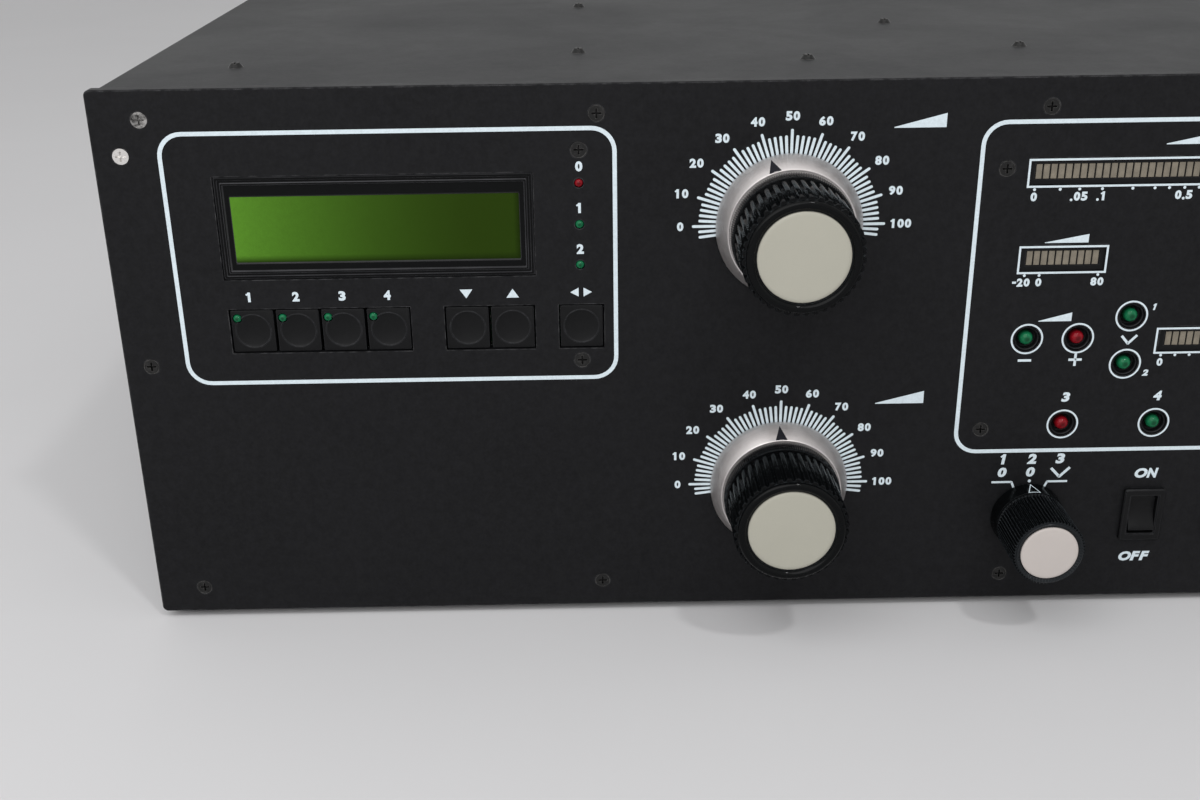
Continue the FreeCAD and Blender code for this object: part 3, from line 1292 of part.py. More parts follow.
def rocker_switches():
    """Two rockers in their clip-in housings; the upper half is pressed at rest."""
    housings = []
    for name, x in rocker_places():
        z = rocker_line
        flange_x = rocker_flange_width / 2
        flange_z = rocker_flange_height / 2
        flange = box((x - flange_x, -rocker_flange_gauge, z - flange_z),
                     (x + flange_x, 0, z + flange_z))
        case = box((x - rocker_body_width / 2, 0, z - rocker_body_height / 2),
                   (x + rocker_body_width / 2, rocker_body_depth, z + rocker_body_height / 2))
        room_x = rocker_width / 2 + slide_gap
        room_z = rocker_height / 2 + rocker_room
        room = box((x - room_x, -rocker_flange_gauge, z - room_z),
                   (x + room_x, rocker_body_depth - rocker_floor, z + room_z))
        axle_reach = rocker_width / 2 + axle_end
        bearing = rod((x - axle_reach - run_gap, rocker_axle_depth, z), rocker_axle + run_gap,
                      2 * (axle_reach + run_gap), "X")
        housings.append(cut(join(flange, case), room, bearing))

        body = new_body(f"{name}_rocker")
        turn = Rotation(Vector(1, 0, 0), -rocker_tilt.value)
        place(body, x, rocker_axle_depth, z, turn)
        half = rocker_height / 2
        profile = new_sketch(body, "YZ_Plane", -rocker_width / 2)
        slope = rocker_valley + rocker_dip
        shoulder = rocker_peak - rocker_shoulder
        tip = half - rocker_bevel
        tail = rocker_tail
        draw_outline(profile, [
            (-rocker_peak, -tip), (-slope, -half / 2), (-rocker_valley, 0),
            (-slope, half / 2), (-rocker_peak, tip), (-shoulder, half), (0, half),
            (rocker_back, tail), (rocker_back, -tail), (0, -half), (-shoulder, -half)])
        pad(body, profile, rocker_width)
        axle = new_sketch(body, "YZ_Plane", -axle_reach)
        draw_circle(axle, 0, 0, rocker_axle)
        body.Tip = pad(body, axle, 2 * axle_reach)
    piece("rocker_housings", group(*housings))


# ---------------------------------------------------------------- capacitors and drives

def capacitor(name, height, rest, vanes, pitch):
    """One variable capacitor: its frame with the stator, and its rotor on the knob's shaft."""
    x, z = dial_across, height
    front = wall_back + pillar_length
    count = int(vanes.value)
    first = front + plate_gauge + pitch
    back = first + vanes * pitch + pitch
    solids = []
    for start in (front, back):
        solids.append(box((x - plate_side, start, z - plate_side),
                          (x + plate_side, start + plate_gauge, z + plate_side)))
    corner = plate_side - rod_radius - rod_edge
    for across in (-corner, corner):
        for up in (-corner, corner):
            solids.append(rod((x + across, wall_back, z + up), rod_radius, back - wall_back))
    bar_across = corner - rod_radius * 3
    for across in (-bar_across, bar_across):
        solids.append(rod((x + across, front, z + vane_radius + rod_radius / 2),
                          rod_radius / 1.5, back - front))
    for step in range(count):
        start = first + step * pitch
        reach = bar_across + rod_radius
        solids.append(box((x - reach, start, z + vane_clear),
                          (x + reach, start + vane_gauge, z + vane_radius + rod_radius)))
    bearing = rod((x, front, z), shaft_radius + run_gap, back + plate_gauge - front)
    piece(f"{name}_capacitor_frame", cut(join(*solids), bearing))

    floor = knob_height - cap_sink - cap_gauge - hub_floor
    shaft = rod((x, -floor + fit_gap, z), shaft_radius, floor + back + plate_gauge + shaft_tail)
    moving = [shaft]
    turned = Rotation(Vector(0, 1, 0), 180 + rest.value) * ALONG["Y"]
    for step in range(count):
        vane = rod((x, first + (step + 0.5) * pitch, z), vane_radius - rod_radius, vane_gauge)
        vane.Angle = 180
        place(vane, x, first + (step + 0.5) * pitch, z, turned)
        moving.append(vane)
    moving += pulley(x, z, pulley_radius)
    piece(f"{name}_capacitor_rotor", join(*moving))


def pulley(x, z, radius):
    """A belt pulley with two flanges, as solids that overlap on one axis."""
    drum = rod((x, belt_depth, z), radius, belt_width + 2 * flange_gauge + 2 * slide_gap)
    rim = radius + belt_gauge + slide_gap
    near = rod((x, belt_depth, z), rim, flange_gauge)
    far = rod((x, belt_depth + flange_gauge + 2 * slide_gap + belt_width, z), rim, flange_gauge)
    return [drum, near, far]


def drives():
    """Three stepper motors, the motor pulleys and the two belts."""
    motors = []
    belts = []
    for name, height, angle, vanes, pitch in dial_places():
        x = dial_across - motor_offset
        half = motor_side / 2
        case = box((x - half, wall_back, height - half),
                   (x + half, wall_back + motor_length, height + half))
        boss = rod((x, wall_depth, height), motor_boss, sheet_gauge)
        well = rod((x, wall_depth, height), motor_shaft + run_gap, motor_length / 2)
        motors.append(cut(join(case, boss), well))
        reach = wall_back - belt_depth + motor_length / 4
        spindle = rod((x, belt_depth, height), motor_shaft, reach)
        piece(f"{name}_motor_pulley", join(*pulley(x, height, pinion_radius), spindle))
        belts.append(belt(x, dial_across, height))
    x = band_left - motor_length
    half = motor_side / 2
    case = box((x, coil_depth - half, band_height - half),
               (band_left, coil_depth + half, band_height + half))
    well = rod((band_left - motor_length / 2, coil_depth, band_height), motor_shaft + run_gap,
               motor_length / 2, "X")
    motors.append(cut(case, well))
    piece("drive_motors", group(*motors))
    piece("drive_belts", group(*belts))


def belt(small_x, large_x, height):
    """A flat belt round a small and a large pulley: the space between two loops."""
    start = belt_depth + flange_gauge + slide_gap
    gap = slide_gap
    outer = tangent_loop(small_x, large_x, height, gap + belt_gauge, start)
    inner = tangent_loop(small_x, large_x, height, gap, start)
    return cut(outer, inner)


def tangent_loop(small_x, large_x, height, grow, start):
    """The filled outline of a belt: two discs and the wedge between their tangents."""
    span = large_x - small_x
    small = pinion_radius + grow
    large = pulley_radius + grow
    lean = (large - small) / span
    rise = root(1 - lean * lean)
    body = doc.addObject("PartDesign::Body", "Loop")
    place(body, small_x, start, height)
    sketch = new_sketch(body, "XZ_Plane", -belt_width)
    near = (-small * lean, small * rise)
    far = (span - large * lean, large * rise)
    draw_outline(sketch, [(near[0], -near[1]), (far[0], -far[1]), far, near])
    pad(body, sketch, belt_width)
    discs = [rod((small_x, start, height), small, belt_width),
             rod((large_x, start, height), large, belt_width)]
    return join(body, *discs)


# ---------------------------------------------------------------- tube, blower, fan

def tube_compartment():
    """Deck, socket, tube and chimney."""
    x, y, top = tube_across, tube_depth, deck_height
    plate = box((deck_left, deck_front, top - sheet_gauge), (deck_right, deck_back, top))
    legs = [
        box((deck_left, deck_front, sheet_gauge), (deck_left + sheet_gauge, deck_back, top)),
        box((deck_right - sheet_gauge, deck_front, sheet_gauge), (deck_right, deck_back, top)),
    ]
    seat = rod((x, y, top - sheet_gauge), socket_radius + fit_gap, sheet_gauge, "Z")
    inlet = box((deck_left, blower_front + blower_wall, duct_low() + blower_wall),
                (deck_left + sheet_gauge, blower_front + blower_width - blower_wall,
                 duct_low() + duct_height - blower_wall))
    piece("tube_deck", cut(join(plate, *legs), seat, inlet))

    base_low = top - tube_sink
    ring = rod((x, y, top - socket_depth), socket_radius, socket_height, "Z")
    rim = rod((x, y, top), socket_radius + socket_rim, socket_rim_gauge, "Z")
    hole = rod((x, y, base_low), tube_base + fit_gap, tube_base_height, "Z")
    well = rod((x, y, top - socket_depth), socket_well, socket_height, "Z")
    piece("tube_socket", cut(join(ring, rim), hole, well))

    screen_low = base_low + tube_base_height
    ceramic_low = screen_low + screen_gauge
    anode_low = ceramic_low + ceramic_height
    stem = rod((x, y, base_low), tube_base, tube_base_height, "Z")
    screen_ring = rod((x, y, screen_low), screen_radius, screen_gauge, "Z")
    ceramic = rod((x, y, ceramic_low), ceramic_radius, ceramic_height, "Z")
    cooler = rod((x, y, anode_low), anode_radius, anode_height, "Z")
    crown = rod((x, y, anode_low + anode_height), crown_radius, crown_height, "Z")
    slots = []
    for step in range(int(anode_fins.value)):
        turn = Rotation(Vector(0, 0, 1), 360.0 * step / anode_fins.value)
        slot = doc.addObject("Part::Box", "Slot")
        bind(slot, "Length", anode_radius - fin_root - fin_rim)
        bind(slot, "Width", fin_slot)
        bind(slot, "Height", anode_height)
        offset = turn.multVec(Vector(fin_root.value, -fin_slot.value / 2, 0))
        place(slot, x + offset.x, y + offset.y, anode_low, turn)
        slots.append(slot)
    piece("power_tube", cut(join(stem, screen_ring, ceramic, cooler, crown), *slots))

    outer = rod((x, y, top), chimney_radius, chimney_height, "Z")
    inner = rod((x, y, top), chimney_radius - chimney_gauge, chimney_height, "Z")
    piece("tube_chimney", cut(outer, inner))


def duct_low():
    """Underside of the blower's outlet."""
    return blower_height - blower_radius


def blower():
    """Scroll housing that blows under the deck, and its wheel."""
    x, y, z = blower_across, blower_front, blower_height
    shell = rod((x, y, z), blower_radius, blower_width)
    duct = box((x, y, duct_low()), (deck_left, y + blower_width, duct_low() + duct_height))
    foot = box((x - blower_foot, y, sheet_gauge),
               (x + blower_foot, y + blower_width, duct_low() + blower_foot_lap))
    room = rod((x, y + blower_wall, z), blower_radius - blower_wall, blower_width - 2 * blower_wall)
    duct_room = box((x, y + blower_wall, duct_low() + blower_wall),
                    (deck_left, y + blower_width - blower_wall, duct_low() + duct_height - blower_wall))
    intake = rod((x, y, z), intake_radius, blower_wall)
    bearing = rod((x, y + blower_width - blower_wall, z), motor_shaft + run_gap, blower_wall)
    piece("blower_housing", cut(join(shell, duct, foot), room, duct_room, intake, bearing))

    wheel_front = y + blower_wall + wheel_gap
    depth = blower_width - 2 * (blower_wall + wheel_gap)
    hub_front = wheel_front + depth - wheel_hub_length
    disc = rod((x, wheel_front + depth - wheel_disc, z), wheel_radius, wheel_disc)
    ring = cut(rod((x, wheel_front, z), wheel_radius, wheel_disc),
               rod((x, wheel_front, z), wheel_radius - wheel_ring, wheel_disc))
    hub = rod((x, hub_front, z), wheel_hub, wheel_hub_length)
    spindle = rod((x, hub_front, z), motor_shaft,
                  wheel_hub_length + wheel_gap + blower_wall + wheel_tail)
    blades = []
    for step in range(int(wheel_blades.value)):
        turn = Rotation(Vector(0, 1, 0), 360.0 * step / wheel_blades.value)
        blade = doc.addObject("Part::Box", "Blade")
        bind(blade, "Length", blade_depth)
        bind(blade, "Width", depth)
        bind(blade, "Height", blade_gauge)
        start = Vector(wheel_radius.value - blade_inset.value, 0, -blade_gauge.value / 2)
        offset = turn.multVec(start)
        place(blade, x + offset.x, wheel_front, z + offset.z, turn)
        blades.append(blade)
    piece("blower_wheel", join(disc, ring, hub, spindle, *blades))


def exhaust_fan():
    """Axial fan behind the rear panel's grille."""
    x, y, z = supply_middle, rear_inner - fan_gauge, fan_height
    half = fan_side / 2
    frame = box((x - half, y, z - half), (x + half, rear_inner, z + half))
    bore = rod((x, y, z), fan_bore, fan_gauge)
    motor_seat = rod((x, y, z), fan_hub, fan_arm)
    reach, slim = half - fan_arm_lap, fan_arm_width / 2
    arms = [box((x - reach, y, z - slim), (x + reach, y + fan_arm, z + slim)),
            box((x - slim, y, z - reach), (x + slim, y + fan_arm, z + reach))]
    spindle = rod((x, y, z), motor_shaft, fan_gauge - 2 * fan_arm)
    piece("exhaust_fan_frame", join(cut(frame, bore), motor_seat, *arms, spindle))

    hub_front = y + fan_arm + fan_run
    hub = rod((x, hub_front, z), fan_hub, fan_gauge - 2 * fan_arm)
    hole = rod((x, hub_front, z), motor_shaft + run_gap, fan_gauge - 3 * fan_arm)
    blades = []
    for step in range(int(fan_blades.value)):
        turn = Rotation(Vector(0, 1, 0), 360.0 * step / fan_blades.value)
        pitch = Rotation(Vector(1, 0, 0), fan_blade_turn.value)
        blade = doc.addObject("Part::Box", "Blade")
        bind(blade, "Length", fan_bore - fan_hub - fan_tip_gap + fan_blade_lap)
        bind(blade, "Width", fan_blade_gauge)
        bind(blade, "Height", fan_blade_height)
        turned = turn * pitch
        corner = Vector(0, -fan_blade_gauge.value / 2, -fan_blade_height.value / 2)
        root_of = Vector(fan_hub.value - fan_blade_lap.value, 0, 0)
        offset = turned.multVec(corner) + turn.multVec(root_of)
        middle = y + fan_gauge / 2 + fan_blade_shift
        place(blade, x + offset.x, middle + offset.y, z + offset.z, turned)
        blades.append(blade)
    limit = rod((x, hub_front, z), fan_bore - fan_tip_gap, rear_inner - fan_run - hub_front)
    swept = doc.addObject("Part::Common", "Swept")
    swept.Base = join(*blades)
    swept.Tool = limit
    piece("exhaust_fan_rotor", cut(join(hub, swept), hole))


# ---------------------------------------------------------------- tank circuit and supply

def tank_coil():
    """Copper tube coil on two ceramic posts."""
    helix = doc.addObject("Part::Helix", "Helix")
    bind(helix, "Pitch", coil_pitch)
    bind(helix, "Height", coil_pitch * coil_turns)
    bind(helix, "Radius", coil_radius)
    section = doc.addObject("Part::Circle", "Section")
    bind(section, "Radius", coil_tube)
    section.Placement = FreeCAD.Placement(Vector(0, 0, 0), Rotation(Vector(1, 0, 0), 90))
    bind(section, "Placement.Base.x", coil_radius)
    tube = doc.addObject("Part::Sweep", "Tube")
    tube.Sections = [section]
    tube.Spine = (helix, [])
    tube.Solid = True
    tube.Frenet = True
    coil = doc.addObject("Part::Compound", "Coil")
    coil.Links = [tube]
    place(coil, coil_left, coil_depth, coil_height, ALONG["X"])
    bridges = []
    length = coil_pitch * coil_turns
    seat = coil_height - coil_radius - coil_tube - slide_gap
    reach = band_wafer + coil_post + coil_post_gap
    for share in (0.25, 0.75):
        x = coil_left + length * share
        legs = [rod((x, coil_depth + side * reach, sheet_gauge), coil_post, seat - sheet_gauge, "Z")
                for side in (-1, 1)]
        bar = box((x - coil_post, coil_depth - reach, seat - coil_bar),
                  (x + coil_post, coil_depth + reach, seat))
        bridges.append(join(*legs, bar))
    piece("tank_coil", group(coil, *bridges))


def band_switch():
    """Ceramic wafers on a mounting plate, and the rotor that the third motor turns."""
    x, y, z = band_left, coil_depth, band_height
    half = motor_side / 2
    plate = box((x, y - half, sheet_gauge), (x + sheet_gauge, y + half, z + half))
    parts = [plate]
    length = band_wafers * band_pitch
    for step in range(int(band_wafers.value)):
        parts.append(rod((x + band_first + step * band_pitch, y, z), band_wafer, wafer_gauge, "X"))
    rod_across = band_hole + band_rod_offset
    for side in (-1, 1):
        parts.append(rod((x, y + side * rod_across, z), band_rod, length, "X"))
    tools = [rod((x + sheet_gauge, y, z), band_hole, length + band_pitch, "X"),
             rod((x, y, z), motor_shaft + run_gap, sheet_gauge, "X")]
    piece("band_switch_frame", cut(join(*parts), *tools))

    spindle = rod((x - motor_length / 3, y, z), motor_shaft, motor_length / 3 + length, "X")
    discs = []
    for step in range(int(band_wafers.value)):
        at = x + band_first + step * band_pitch
        discs.append(rod((at, y, z), band_hole - band_disc_gap, wafer_gauge, "X"))
        discs.append(box((at + finger_gap, y - finger_width / 2, z),
                         (at + wafer_gauge - finger_gap, y + finger_width / 2,
                          z + band_hole - finger_gap)))
    piece("band_switch_rotor", join(spindle, *discs))


def power_supply():
    """Ring transformer and the bank of filter capacitors."""
    x, y = supply_middle, transformer_depth
    ring = rod((x, y, sheet_gauge), transformer_radius, transformer_height, "Z")
    bore = rod((x, y, sheet_gauge), transformer_bore, transformer_height, "Z")
    core = cut(ring, bore)
    doc.recompute()
    soft = doc.addObject("Part::Fillet", "Rounded")
    soft.Base = core
    edges = []
    for number, edge in enumerate(core.Shape.Edges, 1):
        if edge.BoundBox.ZLength < 1:
            edges.append((number, transformer_round.value, transformer_round.value))
    soft.Edges = edges
    top = sheet_gauge + transformer_height
    washer = rod((x, y, top), transformer_bore * 2, washer_gauge, "Z")
    bolt = rod((x, y, sheet_gauge), core_bolt, transformer_height + core_bolt_rise, "Z")
    piece("mains_transformer", group(soft, join(washer, bolt)))

    cans = []
    for column in range(3):
        for row in range(3):
            at = (can_left + column * can_pitch, can_front + row * can_pitch, sheet_gauge)
            can = rod(at, can_radius, can_height, "Z")
            top = sheet_gauge + can_height
            terminals = [rod((at[0] + side * terminal_offset, at[1], top), terminal_radius,
                             terminal_height, "Z") for side in (-1, 1)]
            cans.append(join(can, *terminals))
    piece("filter_capacitors", group(*cans))


# ---------------------------------------------------------------- rear connectors

def rear_connectors():
    """Coaxial sockets, the mains inlet and the ground stud."""
    sockets = []
    for step in range(3):
        x = connector_first + step * connector_pitch
        z = connector_height
        half = connector_flange / 2
        face = case_depth + connector_flange_gauge
        flange = box((x - half, case_depth, z - half), (x + half, face, z + half))
        barrel = rod((x, case_depth, z), connector_radius, connector_flange_gauge + connector_reach)
        tail = rod((x, rear_inner - connector_tail, z), connector_radius - tail_step,
                   connector_tail + sheet_gauge)
        mouth = rod((x, face + mouth_floor, z), mouth_radius, connector_reach)
        contact = rod((x, case_depth, z), contact_radius,
                      connector_flange_gauge + connector_reach - contact_sink)
        pin_hole = rod((x, case_depth + pin_hole_start, z), pin_hole_radius, connector_reach)
        sockets.append(cut(join(cut(join(flange, barrel, tail), mouth), contact), pin_hole))
    piece("coaxial_sockets", group(*sockets))

    x, z = supply_middle, inlet_height
    width = inlet_width / 2
    rise = inlet_rise / 2
    room = inlet_cavity_width / 2
    room_rise = inlet_cavity_rise / 2
    face = case_depth + inlet_flange
    flange_side = width + inlet_flange_side
    flange_end = rise + inlet_flange_end
    flange = box((x - flange_side, case_depth, z - flange_end),
                 (x + flange_side, face, z + flange_end))
    body = box((x - width, case_depth - inlet_depth, z - rise), (x + width, case_depth, z + rise))
    hollow = box((x - room, face - inlet_cavity_depth, z - room_rise), (x + room, face, z + room_rise))
    blades = []
    for step in (-1, 0, 1):
        left = x + step * blade_pitch - blade_width / 2
        blades.append(box(
            (left, case_depth - inlet_cavity_depth, z - blade_height / 2),
            (left + blade_width, case_depth - blade_sink, z + blade_height / 2)))
    piece("mains_inlet", join(cut(join(flange, body), hollow), *blades))

    x, z = stud_across, stud_height
    stud = rod((x, rear_inner - stud_tail, z), stud_radius, sheet_gauge + stud_tail + rear_reach)
    washer = rod((x, case_depth, z), stud_washer, stud_washer_gauge)
    nut = hexagon((x, case_depth + stud_washer_gauge, z), stud_nut, stud_nut_height)
    inner_nut = hexagon((x, rear_inner - stud_nut_height, z), stud_nut, stud_nut_height)
    piece("ground_stud", join(stud, washer, nut, inner_nut))


# ---------------------------------------------------------------- build and write

def build():
    """Make every piece of the amplifier."""
    front_panel()
    panel_screws()
    front_frame()
    chassis_tray()
    top_cover()
    rear_panel()
    case_screws()
    rubber_feet()
    inner_walls()
    display()
    circuit_boards()
    push_buttons()
    lights()
    light_bars()
    for name, height, rest, vanes, pitch in dial_places():
        large_knob(name, height, rest)
        capacitor(name, height, rest, vanes, pitch)
    selector()
    rocker_switches()
    drives()
    tube_compartment()
    blower()
    exhaust_fan()
    tank_coil()
    band_switch()
    power_supply()
    rear_connectors()


def check_and_write():
    """Stop at anything that failed, then write one file for each piece."""
    doc.recompute()
    for item in doc.Objects:
        if "Invalid" in item.State or "Error" in item.State:
            raise RuntimeError(f"{item.Label} ({item.TypeId}) failed: {item.State}")
    os.makedirs("parts", exist_ok=True)
    for name, item in pieces.items():
        shape = item.Shape
        if shape.isNull() or not shape.isValid() or not shape.Solids:
            raise RuntimeError(f"{name} is not a valid solid")
        shape.exportStep(f"parts/{name}.step")
        print(f"{name}: {len(shape.Solids)} solids, {shape.Volume:.0f} cubic mm")


build()
check_and_write()
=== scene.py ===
"""Finishes and fine detail for a table-top hf linear amplifier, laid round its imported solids."""
import json
import math

import bmesh
import bpy
from bpy.props import FloatProperty, FloatVectorProperty, IntProperty, PointerProperty
from mathutils import Matrix, Vector


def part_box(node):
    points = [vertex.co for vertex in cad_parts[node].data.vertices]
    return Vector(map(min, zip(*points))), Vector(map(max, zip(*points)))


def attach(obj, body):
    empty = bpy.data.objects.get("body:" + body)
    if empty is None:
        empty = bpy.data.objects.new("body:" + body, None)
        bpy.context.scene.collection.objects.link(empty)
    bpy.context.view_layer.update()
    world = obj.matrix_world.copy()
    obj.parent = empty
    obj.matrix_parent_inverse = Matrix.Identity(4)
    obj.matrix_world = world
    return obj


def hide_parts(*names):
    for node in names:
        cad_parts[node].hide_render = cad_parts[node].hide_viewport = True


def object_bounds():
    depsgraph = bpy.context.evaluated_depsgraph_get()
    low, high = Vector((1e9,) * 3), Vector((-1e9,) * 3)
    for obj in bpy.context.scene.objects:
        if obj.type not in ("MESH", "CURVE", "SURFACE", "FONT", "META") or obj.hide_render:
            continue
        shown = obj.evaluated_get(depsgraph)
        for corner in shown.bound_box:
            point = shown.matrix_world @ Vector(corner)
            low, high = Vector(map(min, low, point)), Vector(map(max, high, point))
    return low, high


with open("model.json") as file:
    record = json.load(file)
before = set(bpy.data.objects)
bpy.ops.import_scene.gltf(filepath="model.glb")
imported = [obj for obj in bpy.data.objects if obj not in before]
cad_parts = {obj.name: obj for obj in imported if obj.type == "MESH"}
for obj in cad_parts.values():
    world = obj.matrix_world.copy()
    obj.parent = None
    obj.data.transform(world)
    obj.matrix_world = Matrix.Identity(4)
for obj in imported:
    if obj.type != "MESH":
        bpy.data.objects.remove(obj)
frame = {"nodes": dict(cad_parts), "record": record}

bl_info = {
    "name": "HF Linear Amplifier",
    "version": (1, 0, 0),
    "blender": (4, 5, 0),
    "location": "View3D > Sidebar > Amplifier",
    "description": "Dresses the solids of a radio power amplifier with finishes, print and knobs",
    "category": "Object",
}

CAD_BOX = [list(corner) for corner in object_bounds()]
MM = 0.001
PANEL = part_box("front_panel")[0]


def mm(value):
    """Millimetres as metres."""
    return value * MM


def on_panel(across, up, depth=0.0):
    """A place, in mm right of the panel's left edge, up from its bottom, behind its face."""
    return PANEL + Vector((mm(across), mm(depth), mm(up)))


def middle(node):
    """The middle of a CAD node's box."""
    low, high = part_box(node)
    return (low + high) / 2


def at_face(name):
    """The middle of a CAD node, brought to the panel's face."""
    place = middle(name)
    return Vector((place.x, PANEL.y, place.z))


def spans(low, high):
    """Width and height of a box, in mm."""
    return (high.x - low.x) / MM, (high.z - low.z) / MM


# ---------------------------------------------------------------- what a user would change

def length_of(name, size, description):
    """A length given in mm."""
    return FloatProperty(name=name, description=description, default=mm(size), unit="LENGTH",
                         precision=5)


def colour_of(name, values, description):
    """A colour in Blender's linear values."""
    return FloatVectorProperty(name=name, description=description, default=values, size=3,
                               min=0.0, max=1.0, subtype="COLOR")


class AMP_PG_finishes(bpy.types.PropertyGroup):
    """Colours of the finishes."""

    panel: colour_of("Panel", (0.0078, 0.0079, 0.0088), "Powder coat of the front panel")
    cover: colour_of("Cover", (0.016, 0.0165, 0.0175), "Powder coat of the folded cover")
    ink: colour_of("Print", (0.66, 0.75, 0.80), "Screen print on the panel")
    alloy: colour_of("Aluminium", (0.74, 0.70, 0.69), "Turned knob skirts")
    knob: colour_of("Knob", (0.0022, 0.0025, 0.0028), "Grips of the knobs")
    cap: colour_of("Knob cap", (0.40, 0.388, 0.325), "Pale caps of the large knobs")
    small_cap: colour_of("Selector cap", (0.53, 0.483, 0.455), "Pale cap of the selector")
    plastic: colour_of("Plastic", (0.0050, 0.0051, 0.0056), "Keys, rockers and housings")
    screen_bright: colour_of("Screen, bright end", (0.070, 0.184, 0.017), "Left end of the screen")
    screen_dark: colour_of("Screen, dark end", (0.0145, 0.0305, 0.0025), "Right end of the screen")
    green: colour_of("Green lens", (0.006, 0.105, 0.042), "Unlit green lights")
    red: colour_of("Red lens", (0.165, 0.004, 0.008), "Unlit red lights")
    segment: colour_of("Segment", (0.205, 0.178, 0.136), "Unlit segments of the light bars")


class AMP_PG_knobs(bpy.types.PropertyGroup):
    """Sizes of the two large knobs and the selector."""

    skirt: length_of("Skirt", 24.9, "Radius of the aluminium skirt")
    skirt_front: length_of("Skirt front", 21.6, "Radius of the skirt's front edge")
    skirt_height: length_of("Skirt height", 10, "Front of the skirt, off the panel")
    collar: length_of("Collar", 20.9, "Radius of the knurled collar")
    grip: length_of("Grip", 20.0, "Radius of the fluted grip")
    grip_front: length_of("Grip front", 36.8, "Front of the flutes, off the panel")
    nose: length_of("Nose", 18.6, "Radius of the smooth ring in front")
    height: length_of("Height", 38.4, "Front of the ring, off the panel")
    cap: length_of("Cap", 15.1, "Radius of the pale cap")
    flutes: IntProperty(name="Flutes", description="Flutes round a large grip", default=40, min=12)
    flute_depth: length_of("Flute depth", 1.1, "Depth of the flutes")
    pointer_width: length_of("Pointer", 4.2, "Width of the black pointer at its foot")
    tune_angle: FloatProperty(name="Upper pointer", description="Clockwise from upright",
                              default=math.radians(-17.1), subtype="ANGLE")
    load_angle: FloatProperty(name="Lower pointer", description="Clockwise from upright",
                              default=math.radians(-1.8), subtype="ANGLE")
    selector_base: length_of("Selector base", 13.2, "Radius of the selector's skirt")
    selector_grip: length_of("Selector grip", 12.8, "Radius of the selector's ribs")
    selector_height: length_of("Selector height", 29.9, "Front of the selector, off the panel")
    selector_cap: length_of("Selector cap", 10.2, "Radius of the selector's cap")
    selector_ribs: IntProperty(name="Ribs", description="Ribs round the selector", default=64,
                               min=12)


class AMP_PG_keys(bpy.types.PropertyGroup):
    """Sizes of the push keys and rockers."""

    dish: length_of("Dish", 5.9, "Radius of the finger dish in a key")
    dish_depth: length_of("Dish depth", 0.85, "Depth of the finger dish")
    edge: length_of("Edge", 0.35, "Rounding of the key's front edge")
    rocker_hollow: length_of("Rocker hollow", 1.5, "Hollow in a rocker's face")


class AMP_PG_print(bpy.types.PropertyGroup):
    """Sizes of the printed marks."""

    ink: length_of("Ink", 0.04, "Thickness of the print")
    border: length_of("Border line", 1.45, "Width of the two borders")
    border_corner: length_of("Border corner", 7.8, "Corner radius of the borders")
    tick: length_of("Tick", 0.95, "Width of the dial's lines")
    tick_start: length_of("Tick start", 24.0, "Inner end of the dial's lines")
    tick_short: length_of("Short tick", 30.8, "Outer end of the short lines")
    tick_long: length_of("Long tick", 32.9, "Outer end of the long lines")
    number_ring: length_of("Numbers", 37.2, "Radius of the ring of dial numbers")
    number: length_of("Number height", 3.15, "Height of the dial numbers")
    key_mark: length_of("Key mark height", 3.5, "Height of the marks over the keys")
    frame_line: length_of("Bar frame line", 0.7, "Line round the light bars")
    light_ring: length_of("Light ring", 5.7, "Outer radius of the rings round the lights")


class AMP_PG_stage(bpy.types.PropertyGroup):
    """The floor, the lamps and the camera."""

    floor: colour_of("Floor", (0.69, 0.685, 0.695), "Pale floor")
    lamp: FloatProperty(name="Soft box", description="Power of the overhead lamp", default=17.5,
                        unit="POWER")
    glint: FloatProperty(name="Glint", description="Power of the small lamp", default=3.5,
                         unit="POWER")
    sky: FloatProperty(name="Sky", description="Strength of the even light", default=0.50)
    lens: FloatProperty(name="Lens", description="Focal length", default=41.99, unit="CAMERA")


def chosen(group, *names):
    """Lengths from one of the scene's settings groups, in mm."""
    settings = getattr(bpy.context.scene, f"amplifier_{group}")
    lengths = [getattr(settings, name) / MM for name in names]
    return lengths if len(lengths) > 1 else lengths[0]


# ---------------------------------------------------------------- modelling by hand, in mm

UPRIGHT = (math.pi / 2, 0, 0)
DOUBLES = 0.002


def take_none():
    """Nothing is selected."""
    for item in bpy.context.selected_objects:
        item.select_set(False)


def take(*items):
    """Only these are selected, the first of them active."""
    take_none()
    for item in items:
        item.select_set(True)
    bpy.context.view_layer.objects.active = items[0]


def started(name):
    """The primitive just added, with its turn and scale taken into its mesh."""
    piece = bpy.context.object
    piece.name = name
    bpy.ops.object.transform_apply(location=False, rotation=True, scale=True)
    return piece


def select_all():
    """In edit mode, selects the whole mesh."""
    bpy.ops.mesh.select_all(action="SELECT")


def edit(piece):
    """Opens the mesh for editing with all of it selected."""
    take(piece)
    bpy.ops.object.mode_set(mode="EDIT")
    bpy.ops.mesh.select_mode(type="VERT")
    select_all()
    return piece


def leave():
    """Closes the mesh."""
    bpy.ops.object.mode_set(mode="OBJECT")


def pick(piece, kind, test):
    """In edit mode, selects only the verts or edges whose middle and normal or run pass."""
    bpy.ops.mesh.select_mode(type={"verts": "VERT", "edges": "EDGE"}[kind])
    bpy.ops.mesh.select_all(action="DESELECT")
    mesh = bmesh.from_edit_mesh(piece.data)
    mesh.normal_update()
    for part in getattr(mesh, kind):
        if kind == "verts":
            part.select_set(test(part.co, part.normal))
        else:
            start, end = (vertex.co for vertex in part.verts)
            part.select_set(test((start + end) / 2, end - start))
    mesh.select_flush_mode()
    bmesh.update_edit_mesh(piece.data)


